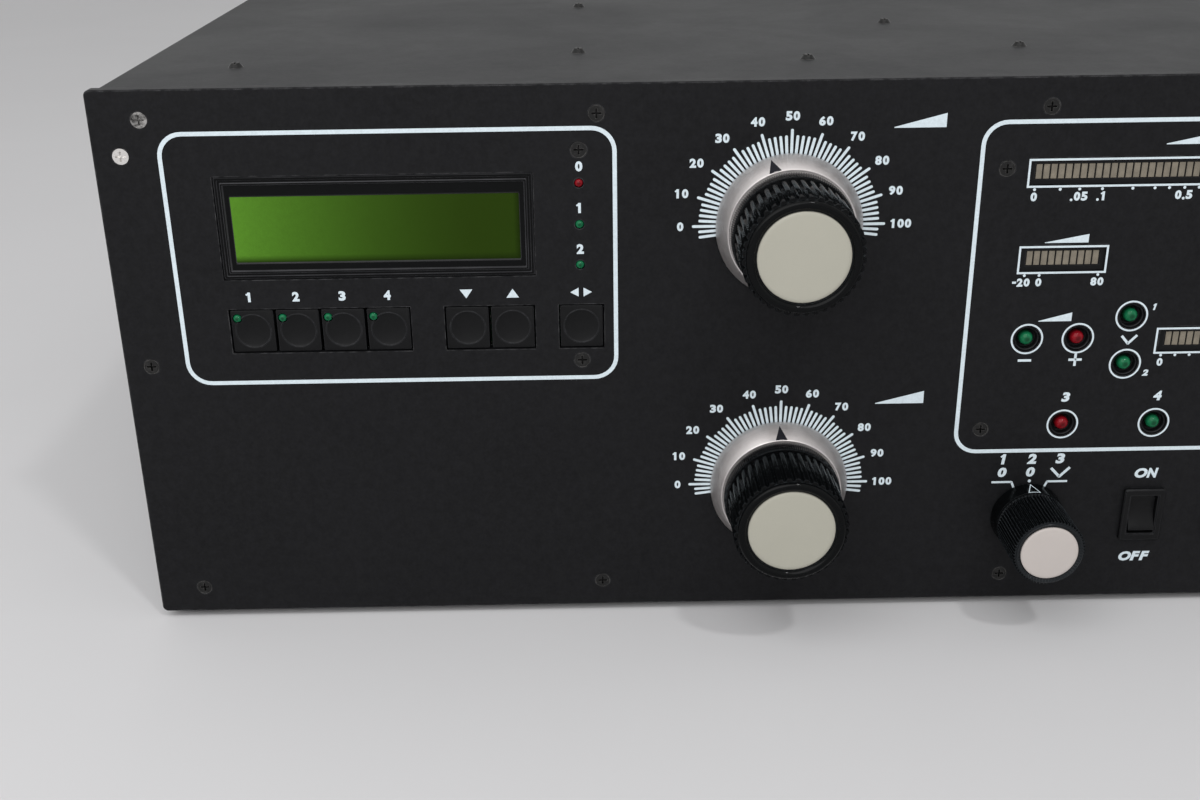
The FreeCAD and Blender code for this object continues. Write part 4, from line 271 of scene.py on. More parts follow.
def shift(y=0.0, z=0.0):
    """In edit mode, moves the selection back and up."""
    bpy.ops.transform.translate(value=(0, mm(y), mm(z)), orient_type="GLOBAL")


def resize(centre, across, up):
    """In edit mode, resizes the selection about a place."""
    bpy.ops.transform.resize(value=(across, 1, up), orient_type="GLOBAL", center_override=centre)


def extrude(depth):
    """In edit mode, extrudes the selection backwards."""
    bpy.ops.mesh.extrude_region_move(
        TRANSFORM_OT_translate={"value": (0, mm(depth), 0), "orient_type": "GLOBAL"})


def grow(centre, steps):
    """Extrudes the selected face step by step; a step is the face's (width, height, depth)."""
    width, height, depth = steps[0]
    for wide, tall, deep in steps[1:]:
        extrude(deep - depth)
        resize(centre, wide / width, tall / height)
        width, height, depth = wide, tall, deep


def holed(line):
    """In edit mode, leaves only a line along the rim of the selected face."""
    bpy.ops.mesh.inset(thickness=mm(line), depth=0)
    bpy.ops.mesh.delete(type="FACE")
    select_all()


def face_outwards():
    """In edit mode, turns every face outwards."""
    select_all()
    bpy.ops.mesh.normals_make_consistent(inside=False)


def recentred(piece, centre):
    """Moves the piece's origin and leaves its shape where it is."""
    bpy.context.scene.cursor.location = centre
    take(piece)
    bpy.ops.object.origin_set(type="ORIGIN_CURSOR")
    return piece


def closed(piece, centre):
    """Ends the editing of a closed piece."""
    face_outwards()
    leave()
    return recentred(piece, centre)


def disc(name, place, radius, corners, fill="NGON", turn=UPRIGHT):
    """A many-sided face towards the front, open for editing."""
    take_none()
    bpy.ops.mesh.primitive_circle_add(vertices=corners, radius=mm(radius), fill_type=fill,
                                      rotation=turn, location=place)
    return edit(started(name))


def turned(name, centre, rings, segments=96):
    """A closed piece turned about a line to the front; a ring is (radius, height)."""
    radius, height = rings[0]
    piece = disc(name, centre - Vector((0, mm(height), 0)), radius, segments)
    grow(centre, [(radius, radius, -height) for radius, height in rings])
    return closed(piece, centre)


def ring_shaped(name, centre, rings, segments=48):
    """A closed ring; its profile is a loop of (radius, height)."""
    radius, height = rings[0]
    piece = disc(name, centre - Vector((0, mm(height), 0)), radius, segments, "NOTHING")
    grow(centre, [(radius, radius, -height) for radius, height in rings + rings[:1]])
    select_all()
    bpy.ops.mesh.remove_doubles(threshold=mm(DOUBLES))
    return closed(piece, centre)


def plate(name, centre, width, height, corner=0.0, rounds=6):
    """A flat face towards the front with rounded corners, open for editing."""
    take_none()
    bpy.ops.mesh.primitive_plane_add(size=1, location=centre, rotation=UPRIGHT)
    piece = edit(started(name))
    resize(centre, mm(width), mm(height))
    if corner > 0:
        bpy.ops.mesh.bevel(offset=mm(corner), segments=rounds, affect="VERTICES")
        select_all()
    return piece


def triangle(name, centre, width, height, turn=UPRIGHT):
    """A flat triangle that points up, open for editing; its foot is a third of its height below."""
    radius = height / 1.5
    piece = disc(name, centre, radius, 3, turn=turn)
    resize(centre, width / radius / math.sqrt(3), 1)
    return piece


def stepped(name, centre, steps, corner=0.0, rounds=4):
    """A closed block that grows step by step; a step is (width, height, depth)."""
    width, height, depth = steps[0]
    piece = plate(name, centre + Vector((0, mm(depth), 0)), width, height, corner, rounds)
    grow(centre, steps)
    return closed(piece, centre)


def modified(piece, kind, **settings):
    """Adds a modifier and applies it."""
    take(piece)
    modifier = piece.modifiers.new(kind.title(), kind)
    for key, value in settings.items():
        setattr(modifier, key, value)
    bpy.ops.object.modifier_apply(modifier=modifier.name)


def cut_with(piece, tool):
    """Cuts one mesh out of another."""
    modified(piece, "BOOLEAN", operation="DIFFERENCE", solver="EXACT", object=tool)
    bpy.data.objects.remove(tool)


def wrapped(piece, target, **way):
    """Lays a flat mark on a curved surface, and gives it the thickness of ink."""
    modified(piece, "SHRINKWRAP", target=target, wrap_method="PROJECT", offset=mm(0.03), **way)
    modified(piece, "SOLIDIFY", thickness=mm(0.04), offset=0.0)


def joined(name, pieces):
    """One object from several."""
    take(*pieces)
    if len(pieces) > 1:
        bpy.ops.object.join()
    piece = bpy.context.object
    piece.name = name
    piece.data.name = name
    return piece


def settled(piece, finish, body, slot=None, *stands_for, smooth=32):
    """Takes the piece's place into its mesh, gives it its finish, and lets it ride on its body."""
    take(piece)
    bpy.ops.object.transform_apply(location=True, rotation=True, scale=True)
    bpy.ops.object.shade_smooth_by_angle(angle=math.radians(smooth))
    piece.data.materials.clear()
    piece.data.materials.append(FINISHES[finish])
    if stands_for:
        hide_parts(*stands_for)
    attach(piece, body)


# ---------------------------------------------------------------- shader groups

def node(tree, kind, settings=None, **inputs):
    """Adds a node; inputs are numbers, colours or sockets, named with _ for a space."""
    made = tree.nodes.new(kind)
    for key, value in (settings or {}).items():
        setattr(made, key, value)
    for key, value in inputs.items():
        numbered = key[0] == "n" and key[1:].isdigit()
        socket = made.inputs[int(key[1:]) if numbered else key.replace("_", " ")]
        if isinstance(value, bpy.types.NodeSocket):
            tree.links.new(value, socket)
        else:
            socket.default_value = value
    return made


def maths(tree, operation, first, second=0.0, third=0.0):
    """One step of arithmetic."""
    settings = {"operation": operation}
    return node(tree, "ShaderNodeMath", settings, n0=first, n1=second, n2=third).outputs[0]


def vector_maths(tree, operation, first, second=(0.0, 0.0, 0.0)):
    """One step of arithmetic with vectors."""
    return node(tree, "ShaderNodeVectorMath", {"operation": operation}, n0=first, n1=second).outputs


def spread(tree, value, start, end, low=0.0, high=1.0):
    """A value spread from one range over another."""
    return node(tree, "ShaderNodeMapRange", Value=value, From_Min=start, From_Max=end,
                To_Min=low, To_Max=high).outputs[0]


def noise(tree, place, scale, detail, **more):
    """Noise over the surface."""
    return node(tree, "ShaderNodeTexNoise", Vector=place, Scale=scale, Detail=detail,
                **more).outputs["Fac"]


def new_group(name, *outputs, **inputs):
    """An empty group with a place and numbers for inputs: its tree, inputs and output sockets."""
    tree = bpy.data.node_groups.new(name, "ShaderNodeTree")
    sockets = tree.interface
    sockets.new_socket(name="Place", in_out="INPUT", socket_type="NodeSocketVector")
    for key, default in inputs.items():
        socket = sockets.new_socket(name=key.replace("_", " "), in_out="INPUT",
                                    socket_type="NodeSocketFloat")
        socket.default_value = default
    for label in outputs:
        sockets.new_socket(name=label, in_out="OUTPUT", socket_type="NodeSocketFloat")
    given = tree.nodes.new("NodeGroupInput").outputs
    return tree, given, tree.nodes.new("NodeGroupOutput").inputs


def grain_group():
    """Fine grain of a powder coat or moulded plastic: a tone and a height."""
    tree, given, result = new_group("Fine grain", "Tone", "Height", Grain=900.0)
    fine = noise(tree, given["Place"], given["Grain"], 3.0, Roughness=0.6)
    coarse = noise(tree, given["Place"], maths(tree, "MULTIPLY", given["Grain"], 0.31), 2.0,
                   Roughness=0.5)
    height = maths(tree, "MULTIPLY_ADD", fine, 0.6, maths(tree, "MULTIPLY", coarse, 0.4))
    tree.links.new(spread(tree, height, 0.35, 0.65), result["Tone"])
    tree.links.new(height, result["Height"])
    return tree


def handling_group():
    """Cloudy patches where hands and dust have dulled a surface."""
    tree, given, result = new_group("Handling", "Mask", Patch=18.0)
    cloud = noise(tree, given["Place"], given["Patch"], 5.0, Roughness=0.62, Distortion=0.35)
    tree.links.new(spread(tree, cloud, 0.38, 0.72), result["Mask"])
    return tree


def wear_group():
    """Edge mask where a rounded normal leaves the true one, broken up by noise: edge wear, and in
    the plastics a painted edge highlight too.
    """
    tree, given, result = new_group("Edge wear", "Mask", Width=mm(0.5), Break_up=400.0, Even=0.0)
    rounded = node(tree, "ShaderNodeBevel", {"samples": 4}, Radius=given["Width"]).outputs[0]
    true = node(tree, "ShaderNodeNewGeometry").outputs["Normal"]
    match = vector_maths(tree, "DOT_PRODUCT", rounded, true)["Value"]
    rough = spread(tree, noise(tree, given["Place"], given["Break up"], 4.0), 0.40, 0.62)
    share = maths(tree, "MAXIMUM", rough, given["Even"])
    mask = maths(tree, "MULTIPLY", spread(tree, match, 0.995, 0.90), share)
    tree.links.new(mask, result["Mask"])
    return tree


def turning_group():
    """Fine rings left by a lathe round a line to the front, from Place's own origin."""
    tree, given, result = new_group("Turning marks", "Height", "Tone", Pitch=2600.0)
    flat = vector_maths(tree, "MULTIPLY", given["Place"], (1.0, 0.0, 1.0))[0]
    radius = vector_maths(tree, "LENGTH", flat)["Value"]
    split = node(tree, "ShaderNodeSeparateXYZ", Vector=given["Place"]).outputs
    lines = node(tree, "ShaderNodeTexNoise", {"noise_dimensions": "1D"},
                 W=maths(tree, "MULTIPLY_ADD", split["Y"], 0.6, radius), Scale=given["Pitch"],
                 Detail=4.0, Roughness=0.75).outputs["Fac"]
    tree.links.new(lines, result["Height"])
    tree.links.new(spread(tree, lines, 0.3, 0.7), result["Tone"])
    return tree


GROUPS = {}
FINISHES = {}


def build_groups():
    """Every shader node group that the finishes share."""
    GROUPS.update(grain=grain_group(), handling=handling_group(), wear=wear_group(),
                  turning=turning_group())


class Finish:
    """One material in the making: its nodes and the shader that they feed."""

    def __init__(self, name, **fixed):
        self.material = bpy.data.materials.new(name)
        self.material.use_nodes = True
        self.tree = self.material.node_tree
        self.shader = self.tree.nodes["Principled BSDF"]
        self.place = node(self.tree, "ShaderNodeTexCoord").outputs["Object"]
        self.set(**fixed)

    def set(self, **sockets):
        """Numbers or sockets for the shader's own inputs."""
        for key, value in sockets.items():
            socket = self.shader.inputs[key.replace("_", " ")]
            if isinstance(value, bpy.types.NodeSocket):
                self.tree.links.new(value, socket)
            else:
                socket.default_value = value

    def use(self, key, **inputs):
        """The outputs of a shared group, on this material's coordinates unless told otherwise."""
        inputs.setdefault("Place", self.place)
        return node(self.tree, "ShaderNodeGroup", {"node_tree": GROUPS[key]}, **inputs).outputs

    def centred(self, centre):
        """The coordinates with their origin at a place."""
        return vector_maths(self.tree, "SUBTRACT", self.place, tuple(centre))[0]

    def split(self, place=None):
        """The coordinates, one by one."""
        return node(self.tree, "ShaderNodeSeparateXYZ", Vector=place or self.place).outputs

    def forward(self):
        """How far the surface faces the front."""
        facing = node(self.tree, "ShaderNodeNewGeometry").outputs["Normal"]
        return vector_maths(self.tree, "DOT_PRODUCT", facing, (0.0, -1.0, 0.0))["Value"]

    def cells(self, scale, **more):
        """Distance from the middle of the nearest cell."""
        return node(self.tree, "ShaderNodeTexVoronoi", {"feature": "F1"}, Vector=self.place,
                    Scale=scale, **more).outputs["Distance"]

    def blend(self, mask, first, second):
        """A colour between two, by a mask."""
        first, second = ((*c, 1.0) if not isinstance(c, bpy.types.NodeSocket) and len(c) == 3
                         else c for c in (first, second))
        settings = {"data_type": "RGBA"}
        return node(self.tree, "ShaderNodeMix", settings, n0=mask, n6=first, n7=second).outputs[2]

    def range(self, value, low, high, start=0.0, end=1.0):
        """A mask spread between two values."""
        return spread(self.tree, value, start, end, low, high)

    def shade(self, mask, strength, first, second):
        """A colour that goes from one towards another by a share of a mask."""
        return self.blend(self.range(mask, 0.0, strength), first, second)

    def done(self, colour, mask, smooth, rough, height=None, depth=0.0):
        """The material with its colour, its roughness by a mask, and bumps as deep as given."""
        self.set(Base_Color=colour, Roughness=self.range(mask, smooth, rough))
        if height is not None:
            bump = node(self.tree, "ShaderNodeBump", Height=height, Distance=mm(depth),
                        Strength=1.0)
            self.set(Normal=bump.outputs[0])
        return self.material


def times(colour, factor):
    """A colour made lighter or darker."""
    return tuple(channel * factor for channel in colour)


# ---------------------------------------------------------------- finishes

BARE_EDGE = (0.16, 0.16, 0.165)
BARE_SCREWS = ((9.3, 175.0, 1.0), (16.7, 187.0, 0.75))
PINS_PER_METRE = 394.0
SEGMENTS_PER_METRE = 390.0


def coat_finish(name, colour, grain, depth, roughness, specular):
    """Fine-textured powder coat, a little dusty, and worn along its edges."""
    finish = Finish(name, Metallic=0.0, Specular_IOR_Level=specular)
    texture = finish.use("grain", Grain=grain)
    hands = finish.use("handling", Patch=14.0)["Mask"]
    edges = finish.use("wear", Width=mm(0.6))["Mask"]
    tone = finish.blend(texture["Tone"], times(colour, 0.72), times(colour, 1.32))
    dusty = finish.shade(hands, 0.16, tone, times(colour, 2.0))
    wear_and_edge_highlight = finish.shade(edges, 0.4, dusty, BARE_EDGE)
    return finish.done(wear_and_edge_highlight, hands, roughness, roughness + 0.10, texture["Height"], depth)


def plastic_finish(name, colour, roughness, grain=1600.0, depth=0.012, wear=0.5, light=3.0,
                   even=0.0, specular=0.18, front=None):
    """Moulded plastic with a fine grain, paler at its edges as wear and painted highlight, with a
    painted sheen in front of a place.
    """
    finish = Finish(name, Metallic=0.0, Specular_IOR_Level=specular)
    texture = finish.use("grain", Grain=grain)
    hands = finish.use("handling", Patch=70.0)["Mask"]
    edges = finish.use("wear", Width=mm(0.35), Break_up=900.0, Even=even)["Mask"]
    tone = finish.blend(texture["Tone"], times(colour, 0.85), times(colour, 1.2))
    # edges paler by the light factor: partly wear, partly painted highlight
    wear_and_edge_highlight = finish.shade(edges, wear, tone, times(colour, light))
    if front is not None:
        # painted sheen: everything in front of the place gets a pale colour
        painted_front_sheen = finish.range(finish.split()["Y"], 1.0, 0.0, front, front + mm(0.04))
        wear_and_edge_highlight = finish.blend(painted_front_sheen, wear_and_edge_highlight, times(colour, 7.0))
    return finish.done(wear_and_edge_highlight, hands, roughness, roughness + 0.12, texture["Height"], depth)


def frame_finish(look):
    """Glossy frame whose sloped faces are painted paler than its flats, as a painted highlight."""
    finish = Finish("display frame", Specular_IOR_Level=0.09)
    texture = finish.use("grain", Grain=1800.0)
    rub = finish.use("handling", Patch=60.0)["Mask"]
    # painted highlight: faces that turn away from the front get a pale colour, broken up by cloudy
    # patches
    slope = maths(finish.tree, "MULTIPLY", finish.range(finish.forward(), 0.0, 1.0, 0.97, 0.85),
                  finish.range(rub, 0.55, 1.0))
    flat = finish.blend(texture["Tone"], times(look.knob, 0.7), look.knob)
    rubbed_and_highlit = finish.blend(slope, flat, (0.060, 0.060, 0.064))
    return finish.done(rubbed_and_highlit, rub, 0.12, 0.24, texture["Height"], 0.003)


def metal_finish(name, colour, roughness, grain=700.0):
    """Plated or drawn metal with cloudy patches of tarnish and a fine grain."""
    finish = Finish(name, Metallic=1.0)
    texture = finish.use("grain", Grain=grain)
    hands = finish.use("handling", Patch=45.0)["Mask"]
    tone = finish.blend(texture["Tone"], times(colour, 0.88), colour)
    dull = finish.shade(hands, 0.25, tone, times(colour, 0.45))
    return finish.done(dull, hands, roughness, roughness + 0.18, texture["Height"], 0.006)


def turned_finish(name, colour, centre, roughness):
    """Turned aluminium with fine rings round its shaft."""
    finish = Finish(name, Metallic=1.0)
    rings = finish.use("turning", Place=finish.centred(centre))
    blasted = finish.use("grain", Grain=1500.0)
    tone = finish.blend(rings["Tone"], times(colour, 0.86), colour)
    speckled = finish.shade(blasted["Tone"], 0.35, tone, times(colour, 0.8))
    both = maths(finish.tree, "ADD", rings["Height"], blasted["Height"])
    return finish.done(speckled, blasted["Tone"], roughness, roughness + 0.1, both, 0.004)


def ink_finish(look):
    """Screen-printed ink with a faintly uneven tone."""
    finish = Finish("screen print", Metallic=0.0, Specular_IOR_Level=0.3)
    texture = finish.use("grain", Grain=1300.0)
    tone = finish.blend(texture["Tone"], times(look.ink, 0.90), times(look.ink, 1.06))
    return finish.done(tone, texture["Tone"], 0.5, 0.62, texture["Height"], 0.01)


def cap_finish(name, colour):
    """Satin moulded cap with a slight cloudiness."""
    finish = Finish(name, Metallic=0.0, Specular_IOR_Level=0.45, Coat_Weight=0.25,
                    Coat_Roughness=0.18)
    hands = finish.use("handling", Patch=55.0)["Mask"]
    texture = finish.use("grain", Grain=1900.0)
    cloudy = finish.shade(hands, 0.5, colour, times(colour, 0.94))
    speckled = finish.shade(texture["Tone"], 0.3, cloudy, times(colour, 0.93))
    return finish.done(speckled, hands, 0.32, 0.42, texture["Height"], 0.005)


def lens_finish(name, colour):
    """Tinted lens of an unlit light: dark at its crown over the chip inside, a painted sheen round
    the crown, painted shade down its side.
    """
    finish = Finish(name, Metallic=0.0, Specular_IOR_Level=0.14)
    forward = finish.forward()
    cloud = finish.use("handling", Patch=900.0)["Mask"]
    # painted sheen and shade by how far the surface faces the front: dim at the side, pale further
    # round
    side = finish.blend(finish.range(forward, 0.0, 1.0, 0.15, 0.65), times(colour, 0.5),
                        times(colour, 1.5))
    base = finish.blend(finish.range(forward, 0.0, 1.0, 0.86, 0.99), side, times(colour, 0.55))
    return finish.done(finish.shade(cloud, 0.5, base, times(colour, 0.6)), cloud, 0.06, 0.14)


def screen_finish(look):
    """Lit display behind a clear pane: bright at its left end and dim at its right end, with a
    painted shadow along its bottom and right rim.
    """
    finish = Finish("lit screen", Metallic=0.0, Specular_IOR_Level=0.03, Roughness=0.15,
                    Emission_Strength=0.35)
    tree, place = finish.tree, finish.split()
    low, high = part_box("display_window")
    across = finish.range(place["X"], 0.0, 1.0, low.x, high.x)
    near = maths(tree, "POWER", maths(tree, "SUBTRACT", 1.0, across), 2.3)
    haze = maths(tree, "MULTIPLY", finish.use("handling", Patch=12.0)["Mask"], 0.04)
    shade = maths(tree, "SUBTRACT", maths(tree, "ADD", haze, 1.0), near)
    lit = finish.blend(shade, look.screen_bright, look.screen_dark)
    # painted shadow along the bottom and the right end, where the frame's edge would shade the pane
    clear_of_painted_bottom_shadow = finish.range(place["Z"], 0.0, 1.0, low.z, low.z + mm(2.6))
    clear_of_painted_end_shadow = finish.range(place["X"], 1.0, 0.0, high.x - mm(2.2), high.x)
    rim = maths(tree, "MULTIPLY", clear_of_painted_bottom_shadow, clear_of_painted_end_shadow)
    lit_with_painted_rim_shadow = finish.blend(rim, times(look.screen_dark, 0.4), lit)
    dots = finish.use("grain", Grain=1800.0)["Tone"]
    speckled = finish.shade(dots, 0.18, lit_with_painted_rim_shadow, times(look.screen_dark, 1.2))
    finish.set(Base_Color=speckled, Emission_Color=speckled)
    return finish.material


def segment_finish(look):
    """Unlit segments of a light bar, each a little lighter in its middle."""
    finish = Finish("bar segments", Metallic=0.0, Specular_IOR_Level=0.5)
    texture = finish.use("grain", Grain=1500.0)
    near = finish.range(finish.cells(SEGMENTS_PER_METRE), 0.0, 1.0, 0.0, 0.9)
    patch = finish.blend(near, times(look.segment, 1.15), times(look.segment, 0.78))
    speckled = finish.shade(texture["Tone"], 0.4, patch, times(look.segment, 0.7))
    return finish.done(speckled, texture["Tone"], 0.38, 0.52, texture["Height"], 0.01)


def screw_finish():
    """Blackened screws with painted shade in their recesses and pale edges that are partly wear and
    partly painted highlight; the plating bare on one and half gone on the next.
    """
    finish = Finish("panel screws", Specular_IOR_Level=0.15)
    tree = finish.tree
    texture = finish.use("grain", Grain=1600.0)
    scratch = finish.use("handling", Patch=420.0)["Mask"]
    masks = []
    for across, up, strength in BARE_SCREWS:
        away = vector_maths(tree, "LENGTH", finish.centred(on_panel(across, up)))["Value"]
        near = finish.range(away, strength, 0.0, mm(3.4), mm(3.5))
        masks.append(near if strength == 1 else maths(tree, "MULTIPLY", near, scratch))
    bare = maths(tree, "ADD", *masks)
    rubbed_and_highlit = finish.range(scratch, 0.0, 0.5, 0.35, 1.0)
    # pale edges: partly wear, partly painted highlight
    edges = finish.use("wear", Width=mm(0.25), Break_up=700.0, Even=0.3)["Mask"]
    dark = finish.blend(rubbed_and_highlit, (0.012, 0.012, 0.012), (0.042, 0.041, 0.040))
    wear_and_edge_highlight = finish.blend(edges, dark, (0.10, 0.096, 0.092))
    along = finish.split()["Y"]
    # painted shade: the recesses, from just behind the face, get a nearly black colour
    painted_recess_shade = maths(tree, "MULTIPLY",
                 finish.range(along, 0.0, 1.0, PANEL.y + mm(0.15), PANEL.y + mm(0.7)),
                 finish.range(along, 1.0, 0.0, PANEL.y + mm(3), PANEL.y + mm(4)))
    black = finish.blend(painted_recess_shade, wear_and_edge_highlight, (0.003, 0.003, 0.003))
    finish.set(Metallic=bare)
    return finish.done(finish.blend(bare, black, (0.68, 0.66, 0.64)), bare, 0.42, 0.28,
                       texture["Height"], 0.015)


def board_finish(name, colour):
    """Solder-masked board with pale rows of pads."""
    finish = Finish(name, Metallic=0.0, Specular_IOR_Level=0.5)
    pad = finish.range(finish.cells(PINS_PER_METRE, Randomness=0.0), 1.0, 0.0, 0.26, 0.30)
    cloud = finish.use("handling", Patch=60.0)["Mask"]
    mask = maths(finish.tree, "MULTIPLY", pad, cloud)
    return finish.done(finish.blend(mask, colour, (0.62, 0.6, 0.5)), cloud, 0.3, 0.45)


def taped_finish(name, colour):
    """Windings under crossed tape, in bands round an upright ring."""
    finish = Finish(name, Metallic=0.0, Specular_IOR_Level=0.5)
    tree = finish.tree
    place = finish.split(finish.centred(middle("mains_transformer")))
    angle = maths(tree, "ARCTAN2", place["Y"], place["X"])
    slanted = maths(tree, "MULTIPLY_ADD", place["Z"], 9.0, maths(tree, "MULTIPLY", angle, 14.0))
    band = finish.range(maths(tree, "SINE", slanted), 0.0, 1.0, -0.6, 0.6)
    texture = finish.use("grain", Grain=900.0)
    tone = finish.blend(band, times(colour, 0.62), colour)
    speckled = finish.shade(texture["Tone"], 0.4, tone, times(colour, 0.5))
    return finish.done(speckled, band, 0.3, 0.5, band, 0.15)


def build_finishes(look):
    """Every material, by the record's slot or by a name of its own."""
    knobs = bpy.context.scene.amplifier_knobs
    FINISHES.update({
        "panel_black": coat_finish("panel powder coat", look.panel, 900.0, 0.035, 0.50, 0.11),
        "cover_black": coat_finish("cover powder coat", look.cover, 700.0, 0.05, 0.58, 0.15),
        "zinc_steel": metal_finish("zinc-plated steel", (0.56, 0.57, 0.58), 0.32, 260.0),
        "black_screw": screw_finish(),
        "rubber": plastic_finish("foot rubber", (0.018, 0.018, 0.018), 0.75, 800.0, 0.04, 0.1),
        "aluminium": turned_finish("case aluminium", look.alloy,
                                   middle("tune_capacitor_rotor"), 0.3),
        # black, gloss and selector plastics: their pale edges are partly wear and partly painted
        # highlight; the selector's pale front is a painted sheen
        "black_plastic": plastic_finish("black plastic", look.plastic, 0.40, wear=0.6,
                                        light=11.0, even=0.5, specular=0.13),
        "gloss_black": plastic_finish("gloss black plastic", look.knob, 0.05, 2200.0, 0.001,
                                      0.5, 24.0, 0.35, 0.09),
        "ribbed_black": plastic_finish("selector plastic", look.knob, 0.16, 2200.0, 0.003, 0.7,
                                       26.0, 0.4, 0.07,
                                       PANEL.y - knobs.selector_height + mm(0.76)),
        "frame_black": frame_finish(look),
        "cap_grey": cap_finish("warm grey cap", look.cap),
        "small_cap": cap_finish("selector cap", look.small_cap),
        "display_green": screen_finish(look),
        "circuit_board": board_finish("circuit board", (0.012, 0.09, 0.035)),
        "green_lens": lens_finish("green lens", look.green),
        "red_lens": lens_finish("red lens", look.red),
        "copper": metal_finish("copper tube", (0.75, 0.37, 0.22), 0.24, 500.0),
        "ceramic": cap_finish("glazed ceramic", (0.80, 0.77, 0.71)),
        "nickel": metal_finish("nickel plate", (0.66, 0.64, 0.60), 0.2),
        "winding": taped_finish("taped winding", (0.5, 0.36, 0.1)),
        "can_blue": plastic_finish("blue sleeve", (0.02, 0.05, 0.17), 0.25, 1200.0, 0.01, 0.2),
        "belt_rubber": plastic_finish("belt rubber", (0.02, 0.02, 0.02), 0.65, 1200.0, 0.05, 0.1),
        "motor_steel": metal_finish("motor steel", (0.22, 0.22, 0.23), 0.4, 400.0),
        "ink": ink_finish(look),
        "segments": segment_finish(look),
        "pointer": plastic_finish("pointer black", (0.010, 0.010, 0.014), 0.5),
    })
    for name in ("tune", "load"):
        FINISHES[f"{name}_skirt"] = turned_finish(f"{name} skirt aluminium", look.alloy,
                                                  at_face(f"{name}_knob_skirt"), 0.38)


def dress_cad_nodes():
    """Every CAD node takes the finish of its slot."""
    for row in frame["record"]["subparts"]:
        item = frame["nodes"][row["node"]]
        item.data.materials.clear()
        item.data.materials.append(FINISHES[row["material_slot"]])


# ---------------------------------------------------------------- printed marks, in mm

ADVANCE = {".": 0.40, "-": 0.50, "O": 1.08, "N": 1.02, "F": 0.86}
INK_WIDTH = {"O": 0.98, "N": 0.82, "F": 0.72}
DEGREES_PER_STEP = 1.8
NUDGE = {0: 0.3, 10: -1.2, 20: -1.5, 30: -1.3, 60: -0.4, 80: 0.4, 90: 0.4, 100: 1.0}

KEY_BORDER = (22.2, 93.4, 173.2, 182.2)
KEY_FIGURES = (("1", 46.4, 125.2), ("2", 62.5, 125.2), ("3", 78.5, 125.2), ("4", 94.1, 125.2),
               ("0", 161.2, 169.4), ("1", 161.2, 155.1), ("2", 161.2, 140.7))
KEY_ARROWS = ((121.4, 125.2, 4.4, 3.2, 180), (137.5, 125.2, 4.4, 3.2, 0),
              (158.9, 125.2, 3.2, 2.9, -90), (163.5, 125.2, 3.2, 2.9, 90))
STATUS_LIGHTS = (("red", 161.1, 163.7), ("green", 161.1, 149.4), ("green", 161.1, 135.1))
KEY_LIGHT = Vector((-mm(5.2), 0, mm(4.7)))

METER_BORDER = (296.2, 61.6, 462.8, 182.1)
BAR_FRAMES = ((312.5, 160.0, 444.5, 169.2), (312.3, 129.5, 342.5, 138.8),
              (364.0, 99.1, 446.5, 108.2))
BARS = ((314.8, 162.5, 50), (314.8, 132.1, 10), (367.3, 101.7, 30))
POWER_SCALE = ((0, "0"), (8.7, ""), (15.3, ".05"), (23.0, ".1"), (33.3, ""), (40.8, ""),
               (45.7, ""), (50.9, "0.5"), (55.8, ""), (60.2, ""), (64.4, ""), (68.3, ""),
               (72.0, "1"), (88.2, "1.5"), (101.8, "2"), (113.8, "2.5"), (124.7, "3"))
POWER_LEFT = 314.9
LEVEL_SCALE = ((314.7, "-20", -0.9), (319.8, "0", 0), (340.2, "80", 0))
LAST_LEFT, LAST_STEP, LAST_DOTS = 366.4, 5.08, 16
RING_LIGHTS = (("green", 318.1, 105.1), ("red", 336.1, 105.1), ("green", 354.1, 95.1),
               ("green", 354.1, 113.1), ("red", 334.5, 72.0), ("green", 367.6, 72.0),
               ("green", 400.7, 72.0), ("red", 433.8, 72.0))
METER_WEDGES = ((357.5, 173.8, 20.0, 4.4), (320.5, 140.2, 15.0, 3.0), (321.4, 111.6, 11.6, 3.2))
METER_STROKES = ((315.9, 97.0, 320.3, 97.0), (333.9, 97.0, 338.3, 97.0),
                 (336.1, 94.8, 336.1, 99.2), (351.7, 105.6, 354.1, 102.8),
                 (354.1, 102.8, 356.9, 105.8))
METER_TEXT = (("1", 361.8, 116.4, 2.4, 0.2), ("2", 361.8, 91.6, 2.4, 0.2))
DIAL_WEDGES = ((266.0, 180.7, 17.3, 4.7), (266.0, 81.2, 17.3, 4.7))
RING_LINE, SIGN_LINE, BRACKET_LINE, CHEVRON_LINE = 0.62, 0.9, 0.8, 1.0

SELECTOR_LINE = 325.0
BRACKET = ((13.8, 48.9), (6.6, 48.9), (5.7, 46.8))
SELECTOR_TEXT = (("1", 314.6, 58.2, 4.1), ("2", 325.0, 58.2, 4.1), ("3", 335.4, 58.2, 4.1),
                 ("0", 314.6, 52.9, 3.9), ("0", 325.0, 52.9, 3.9))
CHEVRON = ((332.6, 54.2, 335.8, 50.8), (335.8, 50.8, 339.2, 54.4))
ROCKER_LINES = (368.0, 400.0)
ROCKER_TEXT = (("ON", 51.7), ("OFF", 16.9))


def inked(piece):
    """In edit mode, gives the selected flat mark the thickness of the ink."""
    extrude(-chosen("print", "ink"))
    face_outwards()
    leave()
    return piece


def bar_mark(across, up, width, height, corner=0.0, rounds=3):
    """A solid printed bar."""
    return inked(plate("mark", on_panel(across, up), width, height, corner, rounds))


def outline_mark(left, low, right, high, line, corner=0.0):
    """A printed line round a rectangle; the sides are the middle of the line."""
    piece = plate("mark", on_panel((left + right) / 2, (low + high) / 2), right - left + line,
                  high - low + line, corner + line / 2 if corner else 0.0, 8)
    holed(line)
    return inked(piece)


def ring_mark(across, up, radius, line):
    """A printed ring."""
    ink = chosen("print", "ink")
    return ring_shaped("mark", on_panel(across, up), [
        (radius - line, 0), (radius, 0), (radius, ink), (radius - line, ink)], 64)


